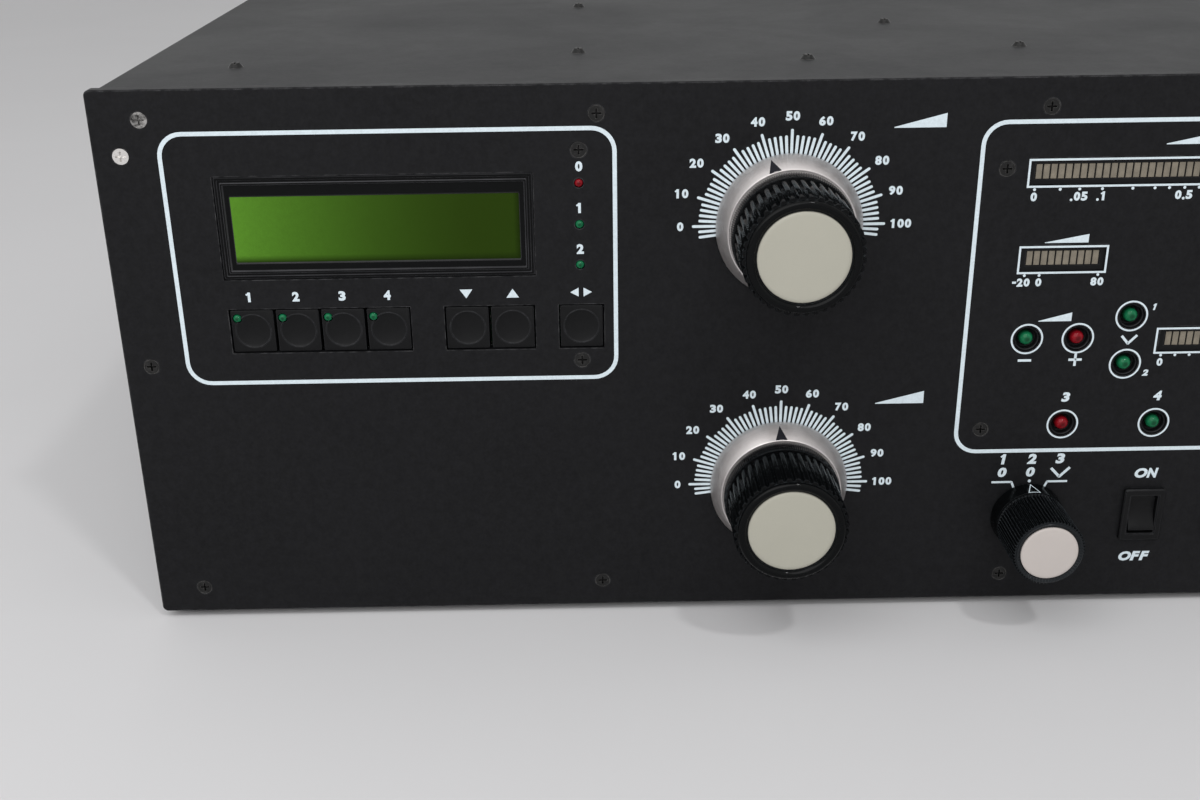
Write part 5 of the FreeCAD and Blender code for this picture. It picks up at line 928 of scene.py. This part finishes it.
def dot_mark(across, up, radius=0.5):
    """A small printed dot."""
    return turned("mark", on_panel(across, up), [(radius, 0), (radius, chosen("print", "ink"))], 16)


def stroke_mark(left, low, right, high, line):
    """A straight printed stroke between two places."""
    run, rise = right - left, high - low
    piece = bar_mark((left + right) / 2, (low + high) / 2, math.hypot(run, rise) + line * 0.4, line)
    piece.rotation_euler.y = -math.atan2(rise, run)
    return piece


def triangle_mark(across, up, width, height, turn):
    """A printed triangle that points up, turned clockwise."""
    piece = inked(triangle("mark", on_panel(across, up - height / 6), width, height))
    recentred(piece, on_panel(across, up))
    piece.rotation_euler.y = math.radians(turn)
    return piece


def wedge_mark(left, low, width, height):
    """A printed wedge that rises to the right."""
    piece = plate("mark", on_panel(left + width / 2, low + height / 2), width, height)
    pick(piece, "verts", lambda place, normal: place.x < 0 and place.z > 0)
    shift(z=-height * 0.94)
    bpy.ops.mesh.select_mode(type="FACE")
    select_all()
    return inked(piece)


def figure(character, height, slant):
    """One printed figure, as high as given, round its own origin; a one has a flag."""
    take_none()
    bpy.ops.object.text_add(location=PANEL, rotation=UPRIGHT)
    text = bpy.context.object.data
    text.body = character
    text.size = mm(height) * 1.3
    text.offset = mm(height) * 0.07
    text.extrude = mm(chosen("print", "ink")) / 2
    text.resolution_u = 3
    text.shear = slant
    bpy.ops.object.convert(target="MESH")
    piece = bpy.context.object
    bpy.ops.object.origin_set(type="ORIGIN_GEOMETRY", center="BOUNDS")
    if character in ".-":
        return piece
    piece.scale.y = mm(height) / piece.dimensions.y
    if character != "1":
        width = height * (INK_WIDTH.get(character, 0.70) + slant)
        piece.scale.x = mm(width) / piece.dimensions.x
        return piece
    place = piece.location.copy()
    across, up = (place.x - PANEL.x) / MM, (place.z - PANEL.z) / MM
    flag = stroke_mark(across + (slant - 1) * height * 0.26, up + height * 0.24,
                       across + slant * height * 0.42, up + height * 0.42, height * 0.17)
    return recentred(joined("one", [piece, flag]), place)


def text_mark(text, across, up, height, slant=0.0):
    """Printed figures, centred on a place and as high as given."""
    steps = [ADVANCE.get(character, 0.80) * height for character in text]
    left = across - sum(steps) / 2
    pieces = []
    for character, step in zip(text, steps):
        piece = figure(character, height, slant)
        drop = -height * 0.40 if character == "." else 0.0
        piece.location = on_panel(left + step / 2 + drop * slant, up + drop,
                                  -chosen("print", "ink") / 2)
        pieces.append(piece)
        left += step
    return joined("mark", pieces)


def printed(name, marks):
    """Joins printed marks into one piece of ink on the panel."""
    settled(joined(name, marks), "ink", "case")


def dial_print(name):
    """Lines and numbers of one dial, from a little under 0 to a little over 100."""
    centre = at_face(f"{name}_knob_skirt")
    across, up = (centre.x - PANEL.x) / MM, (centre.z - PANEL.z) / MM
    tick, start, short, long, ring, height = chosen(
        "print", "tick", "tick_start", "tick_short", "tick_long", "number_ring", "number")
    marks = []
    for outer, values in ((short, [value for value in range(-4, 105, 2) if value % 10]),
                          (long, range(0, 101, 10))):
        line = bar_mark(across, up + (start + outer) / 2, tick, outer - start, tick * 0.42, 2)
        recentred(line, centre)
        for value in values:
            copy = line.copy()
            copy.data = line.data.copy()
            bpy.context.collection.objects.link(copy)
            copy.rotation_euler.y = math.radians((value - 50) * DEGREES_PER_STEP)
            marks.append(copy)
        bpy.data.objects.remove(line)
    for value in range(0, 101, 10):
        angle = math.radians((value - 50) * DEGREES_PER_STEP)
        marks.append(text_mark(str(value), across + ring * math.sin(angle) + NUDGE.get(value, 0.0),
                               up + ring * math.cos(angle), height))
    printed(f"{name}_dial_print", marks)


def key_print():
    """Border, figures and arrows of the display group."""
    border, corner, height = chosen("print", "border", "border_corner", "key_mark")
    marks = [outline_mark(*KEY_BORDER, border, corner)]
    marks += [text_mark(*place, height) for place in KEY_FIGURES]
    marks += [triangle_mark(*place) for place in KEY_ARROWS]
    printed("key_print", marks)


def scale_marks(rows, dots, figures, height):
    """Dots under a light bar, figures under some; a row is (across, text, the text's shift)."""
    marks = []
    for across, text, aside in rows:
        marks.append(dot_mark(across, dots))
        if text:
            marks.append(text_mark(text, across + aside, figures, height))
    return marks


def meter_print():
    """Border, bar frames, scales, light rings and signs of the meter group."""
    border, corner, line, ring = chosen("print", "border", "border_corner", "frame_line",
                                        "light_ring")
    marks = [outline_mark(*METER_BORDER, border, corner)]
    marks += [outline_mark(*place, line) for place in BAR_FRAMES]
    marks += scale_marks([(POWER_LEFT + reach, text, 0) for reach, text in POWER_SCALE],
                         159.0, 156.5, 3.1)
    marks += scale_marks(LEVEL_SCALE, 128.6, 126.1, 3.0)
    marks += scale_marks([(LAST_LEFT + LAST_STEP * step, "" if step % 5 else str(step // 5), 0)
                          for step in range(LAST_DOTS)], 98.2, 95.6, 3.0)
    marks += [wedge_mark(*place) for place in METER_WEDGES]
    marks += [ring_mark(across, up, ring, RING_LINE) for colour, across, up in RING_LIGHTS]
    marks += [stroke_mark(*place, SIGN_LINE) for place in METER_STROKES]
    marks += [text_mark(*place) for place in METER_TEXT]
    marks += [text_mark(sign, across, up + 10.6, 3.7, 0.12)
              for sign, (colour, across, up) in zip("3456", RING_LIGHTS[4:])]
    printed("meter_print", marks)


def selector_print():
    """Figures and brackets over the selector, and the words at the rockers."""
    marks = [text_mark(*place, 0.12) for place in SELECTOR_TEXT]
    marks += [stroke_mark(*place, CHEVRON_LINE) for place in CHEVRON]
    for side in (-1, 1):
        end, knee, tip = ((SELECTOR_LINE + side * reach, up) for reach, up in BRACKET)
        marks.append(stroke_mark(*end, *knee, BRACKET_LINE))
        marks.append(stroke_mark(*knee, *tip, BRACKET_LINE))
    marks.append(dot_mark(SELECTOR_LINE, 49.2, 0.6))
    marks += [text_mark(text, across, up, 4.0, 0.2) for across in ROCKER_LINES
              for text, up in ROCKER_TEXT]
    printed("selector_print", marks)


# ---------------------------------------------------------------- knobs, in mm

FLUTE_COLUMNS = 8
RIB_SHARES = (0.935, 0.962, 1.0, 0.962)
CROWN = 0.2


def press_columns(piece, count, per_flute, low, high, shares):
    """Presses in columns of a turned piece's points: a share of the radius for each column."""
    centre = piece.matrix_world.translation.copy()
    edit(piece)
    step = 2 * math.pi / (count * per_flute)

    def column(place):
        return round(math.atan2(place.z, place.x) / step) % per_flute

    for number, share in enumerate(shares):
        if share != 1.0:
            pick(piece, "verts", lambda place, normal: mm(low) < -place.y < mm(high)
                 and column(place) == number)
            resize(centre, share, share)
    leave()


def knob_skirt(name, centre):
    """Turned aluminium skirt with a bright inner edge."""
    skirt, rim, front = chosen("knobs", "skirt", "skirt_front", "skirt_height")
    return turned(f"{name}_skirt", centre, [
        (skirt - 0.4, 0.5), (skirt, 0.9), (skirt, 2.7), (skirt - 0.12, 3),
        (rim + 0.25, front - 0.25), (rim, front), (rim - 0.35, front), (rim - 0.55, front - 0.2),
        (10, front - 0.2)], 144)


def knob_pointer(name, skirt, centre, angle):
    """Black pointer printed on the skirt's slope."""
    outer, inner, top, width = chosen("knobs", "skirt", "skirt_front", "height", "pointer_width")
    height = outer - inner - 0.5
    place = centre + Vector((0, -mm(top), mm(inner + 0.15 + height / 3)))
    piece = triangle(f"{name}_pointer", place, width, height)
    bpy.ops.mesh.subdivide(number_cuts=7)
    leave()
    wrapped(piece, skirt, use_project_y=True, use_positive_direction=True,
            use_negative_direction=False)
    recentred(piece, centre)
    piece.rotation_euler.y = angle
    return piece


def knob_grip(name, centre):
    """Glossy grip: knurled collar, flutes and a smooth ring in front."""
    collar, back, grip, front, nose, top, cap, depth = chosen(
        "knobs", "collar", "skirt_height", "grip", "grip_front", "nose", "height", "cap",
        "flute_depth")
    step = back + 5
    flutes = bpy.context.scene.amplifier_knobs.flutes
    piece = turned(f"{name}_grip", centre, [
        (collar - 0.5, back - 0.1), (collar, back + 0.3), (collar, step - 0.3),
        (collar - 0.5, step), (grip - 1.2, step + 0.2), (grip - 1.2, step + 0.8),
        (grip, step + 0.9), (grip, step + 10), (grip, front - 0.5), (grip - 0.25, front),
        (nose, front + 0.05), (nose, top - 1), (nose - 0.15, top - 0.55), (nose - 0.45, top - 0.2),
        (nose - 0.95, top), (cap + 1.6, top), (cap + 1.2, top - 0.15), (cap + 0.8, top - 0.5),
        (cap + 0.5, top - 1.1), (cap + 0.1, top - 1.2), (cap + 0.1, top - 2.2),
        (cap - 2, top - 2.2)], flutes * FLUTE_COLUMNS)
    deep, steep, slight = (1 - depth * share / grip for share in (1, 0.7, 0.15))
    press_columns(piece, flutes, FLUTE_COLUMNS, step + 0.85, front + 0.02,
                  (deep, steep, slight, 1.0, 1.0, 1.0, slight, steep))
    press_columns(piece, flutes * FLUTE_COLUMNS // 2, 2, back + 0.2, step - 0.2, (0.975, 1.0))
    return piece


def crowned_disc(name, centre, radius, back, front):
    """A thin disc with a rounded rim and a faintly crowned face."""
    rings = [(radius - 0.2, back), (radius, back + 0.2), (radius, front - 0.45),
             (radius - 0.12, front - 0.2), (radius - 0.45, front)]
    rings += [(radius * share, front + CROWN * (1 - share * share))
              for share in (0.9, 0.75, 0.55, 0.35, 0.15)]
    return turned(name, centre, rings)


def large_knob(name, angle):
    """Skirt with pointer, grip and cap of one large knob."""
    body = f"{name}_drive"
    centre = at_face(f"{name}_knob_skirt")
    cap, top = chosen("knobs", "cap", "height")
    skirt = knob_skirt(name, centre)
    pointer = knob_pointer(name, skirt, centre, angle)
    settled(skirt, f"{name}_skirt", body, "aluminium", f"{name}_knob_skirt")
    settled(pointer, "pointer", body)
    settled(knob_grip(name, centre), "gloss_black", body, "gloss_black", f"{name}_knob_grip",
            smooth=28)
    settled(crowned_disc(f"{name}_cap", centre, cap, top - 2.1, top - 0.75), "cap_grey", body,
            "cap_grey", f"{name}_knob_cap")


def selector_knob():
    """Ribbed selector on a smooth skirt, with its outlined pointer and pale cap."""
    centre = at_face("selector_knob_cap")
    base, grip, top, cap = chosen("knobs", "selector_base", "selector_grip", "selector_height",
                                  "selector_cap")
    ribs = bpy.context.scene.amplifier_knobs.selector_ribs
    skirt = 8
    knob = turned("selector_grip", centre, [
        (base - 0.4, 0.5), (base, 0.9), (grip + 0.05, skirt - 0.6), (grip - 0.15, skirt - 0.3),
        (grip - 0.2, skirt + 0.2), (grip, skirt + 0.5), (grip, skirt + 8), (grip, top - 1),
        (grip - 0.1, top - 0.75), (grip - 1, top - 0.7), (grip - 1.05, top - 0.15),
        (grip - 1.2, top), (grip - 1.4, top - 0.05), (cap + 0.5, top - 0.9), (cap + 0.1, top - 1),
        (cap + 0.1, top - 1.6), (cap - 2, top - 1.6)], ribs * len(RIB_SHARES))
    press_columns(knob, ribs, len(RIB_SHARES), skirt + 0.4, top - 0.72, RIB_SHARES)
    pointer = selector_pointer(knob, centre, base)
    settled(knob, "ribbed_black", "selector", "black_plastic", "selector_knob", smooth=28)
    settled(pointer, "ink", "selector")
    settled(crowned_disc("selector_cap", centre, cap, top - 1.5, top - 0.25), "small_cap",
            "selector", "cap_grey", "selector_knob_cap")


def selector_pointer(knob, centre, base):
    """Outlined triangle on the skirt's side, its tip towards the panel."""
    width, length = 4.6, 6.0
    place = centre + Vector((0, -mm(1.3 + length / 1.5), mm(base + 3)))
    piece = triangle("selector_pointer", place, width, length, (0, 0, 0))
    holed(0.32)
    bpy.ops.mesh.subdivide(number_cuts=8)
    leave()
    wrapped(piece, knob, use_project_z=True, use_positive_direction=False,
            use_negative_direction=True)
    return piece


# ---------------------------------------------------------------- keys and rockers, in mm

LIT_KEYS = ("set", "tune", "auto", "manual")
PLAIN_KEYS = ("down", "up", "antenna")
KEY_SLACK = 0.3
ROCKER_ROOM = (9.9, 15.4)


def key_cap(name):
    """A hollow push key with a lipped finger dish, its stem, and a hole for a light."""
    edge, rim, deep = chosen("keys", "edge", "dish", "dish_depth")
    low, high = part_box(f"{name}_button")
    width, height = (span - KEY_SLACK for span in spans(low, high))
    centre = Vector(((low.x + high.x) / 2, low.y, (low.z + high.z) / 2))
    piece = stepped(f"{name}_key", centre, [
        (width, height, 6), (width, height, edge),
        (width - edge * 0.6, height - edge * 0.6, edge * 0.3),
        (width - 2 * edge, height - 2 * edge, 0)], 0.5, 3)
    bowl = [(rim + 0.1, 1), (rim + 0.1, -0.02)]
    bowl += [(rim * share, -0.12 - deep * (1 - share * share))
             for share in (0.97, 0.86, 0.72, 0.56, 0.4, 0.22)]
    cut_with(piece, turned("dish", centre, bowl, 64))
    cut_with(piece, turned("hollow", centre, [(4.6, -7), (4.6, -2)], 48))
    if name in LIT_KEYS:
        cut_with(piece, turned("light_hole", centre + KEY_LIGHT, [(1.75, 1), (1.75, -7)], 32))
    stem = turned("stem", centre, [(2, -10), (2, -1.6)], 24)
    lip = ring_shaped("lip", centre, [
        (rim + 0.42, -0.05), (rim + 0.36, 0.10), (rim + 0.22, 0.18), (rim + 0.06, 0.09),
        (rim, -0.15)], 64)
    return joined(f"{name}_key", [piece, lip, stem])


def push_keys():
    """Seven keys, four of them with a light in the corner."""
    for name in LIT_KEYS + PLAIN_KEYS:
        settled(key_cap(name), "black_plastic", f"{name}_key", "black_plastic",
                f"{name}_button", smooth=30)


def rocker_housing(name, centre):
    """Frame of a rocker switch with a stepped inner edge."""
    low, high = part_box("rocker_housings")
    gauge = (PANEL.y - low.y) / MM
    width, height = 15, spans(low, high)[1]
    wide, tall = ROCKER_ROOM
    return stepped(f"{name}_housing", centre, [
        (12.6, 18.8, 18), (12.6, 18.8, 0), (width, height, 0), (width, height, 0.4 - gauge),
        (width - 0.8, height - 0.8, -gauge), (wide + 1.1, tall + 1.1, -gauge),
        (wide + 0.7, tall + 0.7, 0.35 - gauge), (wide, tall, 0.4 - gauge), (wide, tall, 9)], 0.7, 3)


def rocker_paddle(name, centre):
    """Rocker with a hollow face, tilted with its upper half pressed in."""
    hollow = chosen("keys", "rocker_hollow")
    width, half, proud, depth, rows = 9.4, 6.8, 3.9, 5.0, 12
    axle = centre + Vector((0, mm(2), 0))
    take_none()
    bpy.ops.mesh.primitive_cube_add(size=1, location=axle + Vector((0, mm((depth - proud) / 2), 0)),
                                    scale=(mm(width), mm(proud + depth), mm(2 * half)))
    piece = recentred(started(f"{name}_paddle"), axle)
    edit(piece)
    pick(piece, "edges", lambda place, run: abs(run.z) > mm(half))
    bpy.ops.mesh.subdivide(number_cuts=rows - 1)
    for row in range(rows + 1):
        share = 2 * row / rows - 1

        def in_row(place):
            return abs(place.z - mm(share * half)) < mm(0.1)

        pick(piece, "verts", lambda place, normal: in_row(place) and place.y < 0)
        shift(hollow * (1 - share * share) + (0.5 if abs(share) > 0.99 else 0))
        pick(piece, "verts", lambda place, normal: in_row(place) and place.y > 0)
        shift(-depth * 0.9 * share * share)
    pick(piece, "edges", lambda place, run: place.z > mm(half) * 0.97 and abs(run.y) > mm(0.5)
         and abs(run.x) < mm(0.1))
    bpy.ops.mesh.bevel(offset=mm(1.3), segments=4, affect="EDGES")
    leave()
    modified(piece, "BEVEL", width=mm(0.45), segments=3, limit_method="ANGLE",
             angle_limit=math.radians(40))
    piece.rotation_euler.x = -math.radians(10)
    return piece


def rockers():
    """Two rocker switches."""
    housings = []
    for name in ("standby", "power"):
        centre = at_face(f"{name}_rocker")
        centre.z = middle("rocker_housings").z
        housings.append(rocker_housing(name, centre))
        settled(rocker_paddle(name, centre), "black_plastic", f"{name}_switch", "black_plastic",
                f"{name}_rocker", smooth=40)
    settled(joined("rocker_frames", housings), "black_plastic", "case", "black_plastic",
            "rocker_housings")


# ---------------------------------------------------------------- display, lights, bars, in mm

def display():
    """Stepped frame with its clip, round a lit pane."""
    centre, pane_centre = at_face("display_bezel"), at_face("display_window")
    low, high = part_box("display_bezel")
    width, height = spans(low, high)
    front, back = ((corner.y - PANEL.y) / MM for corner in (low, high))
    pane_low, pane_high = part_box("display_window")
    wide, tall = spans(pane_low, pane_high)
    pane = (pane_low.y - PANEL.y) / MM
    floor, lip = front + 0.7, 0.7
    bezel = plate("display_frame", centre + Vector((0, mm(back), 0)), width, height, 0.4, 3)
    steps = [(0, back), (0, front + 0.45), (0.45, front), (1.1, front), (1.3, front + 0.35),
             (2.0, front + 0.35), (2.3, front + 0.05), (2.7, front + 0.05), (3.1, floor)]
    grow(centre, [(width - 2 * inset, height - 2 * inset, deep) for inset, deep in steps]
         + [(wide + lip, tall + lip, floor)])
    bpy.ops.transform.translate(value=pane_centre - centre, orient_type="GLOBAL")
    grow(pane_centre, [(wide + lip, tall + lip, floor), (wide, tall, floor + 0.15),
                       (wide - 0.4, tall - 0.4, pane + 0.1)])
    face_outwards()
    leave()
    settled(bezel, "frame_black", "case", "gloss_black", "display_bezel", smooth=20)
    clip = stepped("display_clip", on_panel(144.2, 151.0), [
        (0.9, 12, 3.4), (0.9, 12, 1.6), (0.5, 11.4, 1.3)])
    settled(clip, "gloss_black", "case", "gloss_black")
    window = stepped("display_pane", pane_centre, [
        (wide, tall, 8), (wide, tall, pane + 0.15), (wide - 0.3, tall - 0.3, pane)])
    settled(window, "display_green", "case", "display_green", "display_window")


def lens(centre, radius, proud):
    """A round-nosed light; proud is how far its tip stands off the centre."""
    rings = [(radius, -6), (radius, proud - radius)]
    for step in range(1, 9):
        angle = math.radians(step * 10.5)
        rings.append((radius * math.cos(angle), proud - radius * (1 - math.sin(angle))))
    return turned("lens", centre, rings, 32)


def lights():
    """All small lights in their holes, and holders round the larger ones."""
    found = {"green": [lens(at_face(f"{name}_button") + KEY_LIGHT, 1.5, 0.3) for name in LIT_KEYS],
             "red": []}
    for colour, across, up in STATUS_LIGHTS:
        found[colour].append(lens(on_panel(across, up), 1.5, 0.7))
    holders = []
    for colour, across, up in RING_LIGHTS:
        found[colour].append(lens(on_panel(across, up), 2.5, 0.65))
        holders.append(ring_shaped("holder", on_panel(across, up), [
            (2.65, -5.5), (4.55, -5.5), (4.55, -0.8), (4.2, -0.5), (3.9, -0.7), (3.5, -2.4),
            (2.65, -2.9)]))
    for colour, lenses in found.items():
        settled(joined(f"{colour}_lenses", lenses), f"{colour}_lens", "case", f"{colour}_lens",
                f"{colour}_lights")
    settled(joined("light_holders", holders), "black_plastic", "case", "black_plastic")


def light_bars():
    """Black bodies with a row of pale segments each."""
    bodies, segments = [], []
    pitch, tall, rim, sink = 2.54, 5.0, 4.2, 0.8
    wide = pitch - 0.55
    for left, low, count in BARS:
        long = count * pitch
        up = low + tall / 2
        bodies.append(stepped("bar", on_panel(left + long / 2, up), [
            (long + rim, tall + rim, 15), (long + rim, tall + rim, sink + 0.15),
            (long + rim - 0.3, tall + rim - 0.3, sink), (long + 0.5, tall + 0.5, sink),
            (long + 0.2, tall + 0.2, sink + 0.35)]))
        for step in range(count):
            segments.append(stepped("segment", on_panel(left + (step + 0.5) * pitch, up), [
                (wide, tall, sink + 1), (wide, tall, sink + 0.15),
                (wide - 0.2, tall - 0.2, sink + 0.05)]))
    settled(joined("bar_bodies", bodies), "black_plastic", "case", "black_plastic", "light_bars")
    settled(joined("bar_segments", segments), "segments", "case")


# ---------------------------------------------------------------- stage, in metres

FLOOR_SIZE = 12
CAMERA_PLACE = Vector((-0.078696, -0.661350, 0.283958))
CAMERA_AHEAD = Vector((0.00687, 0.91976, -0.39241)).normalized()
CAMERA_RIGHT = Vector((0.99984, -0.01282, -0.01255))
SENSOR = 36
CLIP_START = 0.01
LAMP_TARGET = Vector((0, -0.2, 0.1))
SOFT_BOX = (Vector((-0.5, -1.25, 1.15)), 1.6)
GLINT = (Vector((0.35, -0.95, 1.35)), 0.10)


def camera_turn():
    """How the camera is turned: it looks down at the panel, a touch askew."""
    right = (CAMERA_RIGHT - CAMERA_AHEAD * CAMERA_RIGHT.dot(CAMERA_AHEAD)).normalized()
    up = right.cross(CAMERA_AHEAD)
    return Matrix((right, up, -CAMERA_AHEAD)).transposed().to_4x4()


def area_lamp(name, place, size, power):
    """A square soft lamp that looks at the object."""
    take_none()
    bpy.ops.object.light_add(type="AREA", location=place)
    lamp = bpy.context.object
    lamp.name = name
    lamp.data.size = size
    lamp.data.energy = power
    lamp.rotation_euler = (LAMP_TARGET - place).to_track_quat("-Z", "Y").to_euler()


def set_floor(colour):
    """A plain pale floor."""
    take_none()
    bpy.ops.mesh.primitive_plane_add(size=FLOOR_SIZE, location=(0, 0, CAD_BOX[0][2]))
    floor = started("floor")
    finish = Finish("floor paper", Roughness=0.75, Specular_IOR_Level=0.25)
    cloud = finish.use("handling", Patch=2.2)["Mask"]
    finish.set(Base_Color=finish.blend(cloud, colour, times(colour, 0.97)))
    floor.data.materials.append(finish.material)


def set_sky(strength):
    """An even light that looks white to the camera and in reflections."""
    world = bpy.data.worlds.new("even sky")
    bpy.context.scene.world = world
    world.use_nodes = True
    tree = world.node_tree
    back = tree.nodes["Background"]
    ray = node(tree, "ShaderNodeLightPath").outputs
    seen = maths(tree, "MAXIMUM", ray["Is Camera Ray"], ray["Is Glossy Ray"])
    seen = maths(tree, "MAXIMUM", seen, ray["Is Transmission Ray"])
    tree.links.new(spread(tree, seen, 0.0, 1.0, strength), back.inputs["Strength"])
    back.inputs["Color"].default_value = (1, 1, 1, 1)


def set_stage(look):
    """Floor, even sky, a soft lamp, a small one for glints, and the camera."""
    scene = bpy.context.scene
    scene.view_settings.view_transform = "Standard"
    set_floor(look.floor)
    set_sky(look.sky)
    area_lamp("soft_box", *SOFT_BOX, look.lamp)
    area_lamp("glint", *GLINT, look.glint)
    take_none()
    bpy.ops.object.camera_add()
    camera = bpy.context.object
    camera.name = "front_camera"
    camera.matrix_world = Matrix.Translation(CAMERA_PLACE) @ camera_turn()
    camera.data.sensor_width = SENSOR
    camera.data.lens = look.lens
    camera.data.clip_start = CLIP_START
    scene.camera = camera


# ---------------------------------------------------------------- operators

class AMP_OT_finishes(bpy.types.Operator):
    """Build the finishes and dress every solid of the case and its inside"""

    bl_idname = "amplifier.finishes"
    bl_label = "Dress the Case"

    def execute(self, context):
        build_groups()
        build_finishes(context.scene.amplifier_finishes)
        dress_cad_nodes()
        return {"FINISHED"}


class AMP_OT_print(bpy.types.Operator):
    """Print the borders, dials, scales and signs on the panel"""

    bl_idname = "amplifier.print"
    bl_label = "Print the Panel"

    def execute(self, context):
        key_print()
        meter_print()
        selector_print()
        printed("level_print", [wedge_mark(*place) for place in DIAL_WEDGES])
        for name in ("tune", "load"):
            dial_print(name)
        return {"FINISHED"}


class AMP_OT_large_knobs(bpy.types.Operator):
    """Add the two large knobs"""

    bl_idname = "amplifier.large_knobs"
    bl_label = "Add Large Knobs"

    def execute(self, context):
        sizes = context.scene.amplifier_knobs
        large_knob("tune", sizes.tune_angle)
        large_knob("load", sizes.load_angle)
        return {"FINISHED"}


class AMP_OT_selector(bpy.types.Operator):
    """Add the selector knob"""

    bl_idname = "amplifier.selector"
    bl_label = "Add Selector Knob"

    def execute(self, context):
        selector_knob()
        return {"FINISHED"}


class AMP_OT_keys(bpy.types.Operator):
    """Add the seven push keys"""

    bl_idname = "amplifier.keys"
    bl_label = "Add Push Keys"

    def execute(self, context):
        push_keys()
        return {"FINISHED"}


class AMP_OT_rockers(bpy.types.Operator):
    """Add the two rocker switches"""

    bl_idname = "amplifier.rockers"
    bl_label = "Add Rockers"

    def execute(self, context):
        rockers()
        return {"FINISHED"}


class AMP_OT_display(bpy.types.Operator):
    """Add the display with its stepped frame"""

    bl_idname = "amplifier.display"
    bl_label = "Add Display"

    def execute(self, context):
        display()
        return {"FINISHED"}


class AMP_OT_lights(bpy.types.Operator):
    """Add the small lights and the light bars"""

    bl_idname = "amplifier.lights"
    bl_label = "Add Lights"

    def execute(self, context):
        lights()
        light_bars()
        return {"FINISHED"}


class AMP_OT_stage(bpy.types.Operator):
    """Add the floor, the lamps, the sky and the camera"""

    bl_idname = "amplifier.stage"
    bl_label = "Set the Stage"

    def execute(self, context):
        set_stage(context.scene.amplifier_stage)
        return {"FINISHED"}


STEPS = (AMP_OT_finishes, AMP_OT_print, AMP_OT_large_knobs, AMP_OT_selector, AMP_OT_keys,
         AMP_OT_rockers, AMP_OT_display, AMP_OT_lights, AMP_OT_stage)


class AMP_PT_panel(bpy.types.Panel):
    """Every step of the amplifier, in order"""

    bl_idname = "AMP_PT_panel"
    bl_label = "HF Linear Amplifier"
    bl_space_type = "VIEW_3D"
    bl_region_type = "UI"
    bl_category = "Amplifier"

    def draw(self, context):
        for step in STEPS:
            self.layout.operator(step.bl_idname)


SETTINGS = {"amplifier_finishes": AMP_PG_finishes, "amplifier_knobs": AMP_PG_knobs,
            "amplifier_keys": AMP_PG_keys, "amplifier_print": AMP_PG_print,
            "amplifier_stage": AMP_PG_stage}


def register():
    """Makes the settings, the operators and the panel known to Blender."""
    for name, kind in SETTINGS.items():
        bpy.utils.register_class(kind)
        setattr(bpy.types.Scene, name, PointerProperty(type=kind))
    for kind in (*STEPS, AMP_PT_panel):
        bpy.utils.register_class(kind)


def unregister():
    """Takes them away again."""
    for kind in (AMP_PT_panel, *reversed(STEPS)):
        bpy.utils.unregister_class(kind)
    for name, kind in SETTINGS.items():
        delattr(bpy.types.Scene, name)
        bpy.utils.unregister_class(kind)


def main():
    """Builds the whole scene, step by step."""
    register()
    for step in STEPS:
        group, operator = step.bl_idname.split(".")
        getattr(getattr(bpy.ops, group), operator)()


if __name__ == "__main__":
    main()
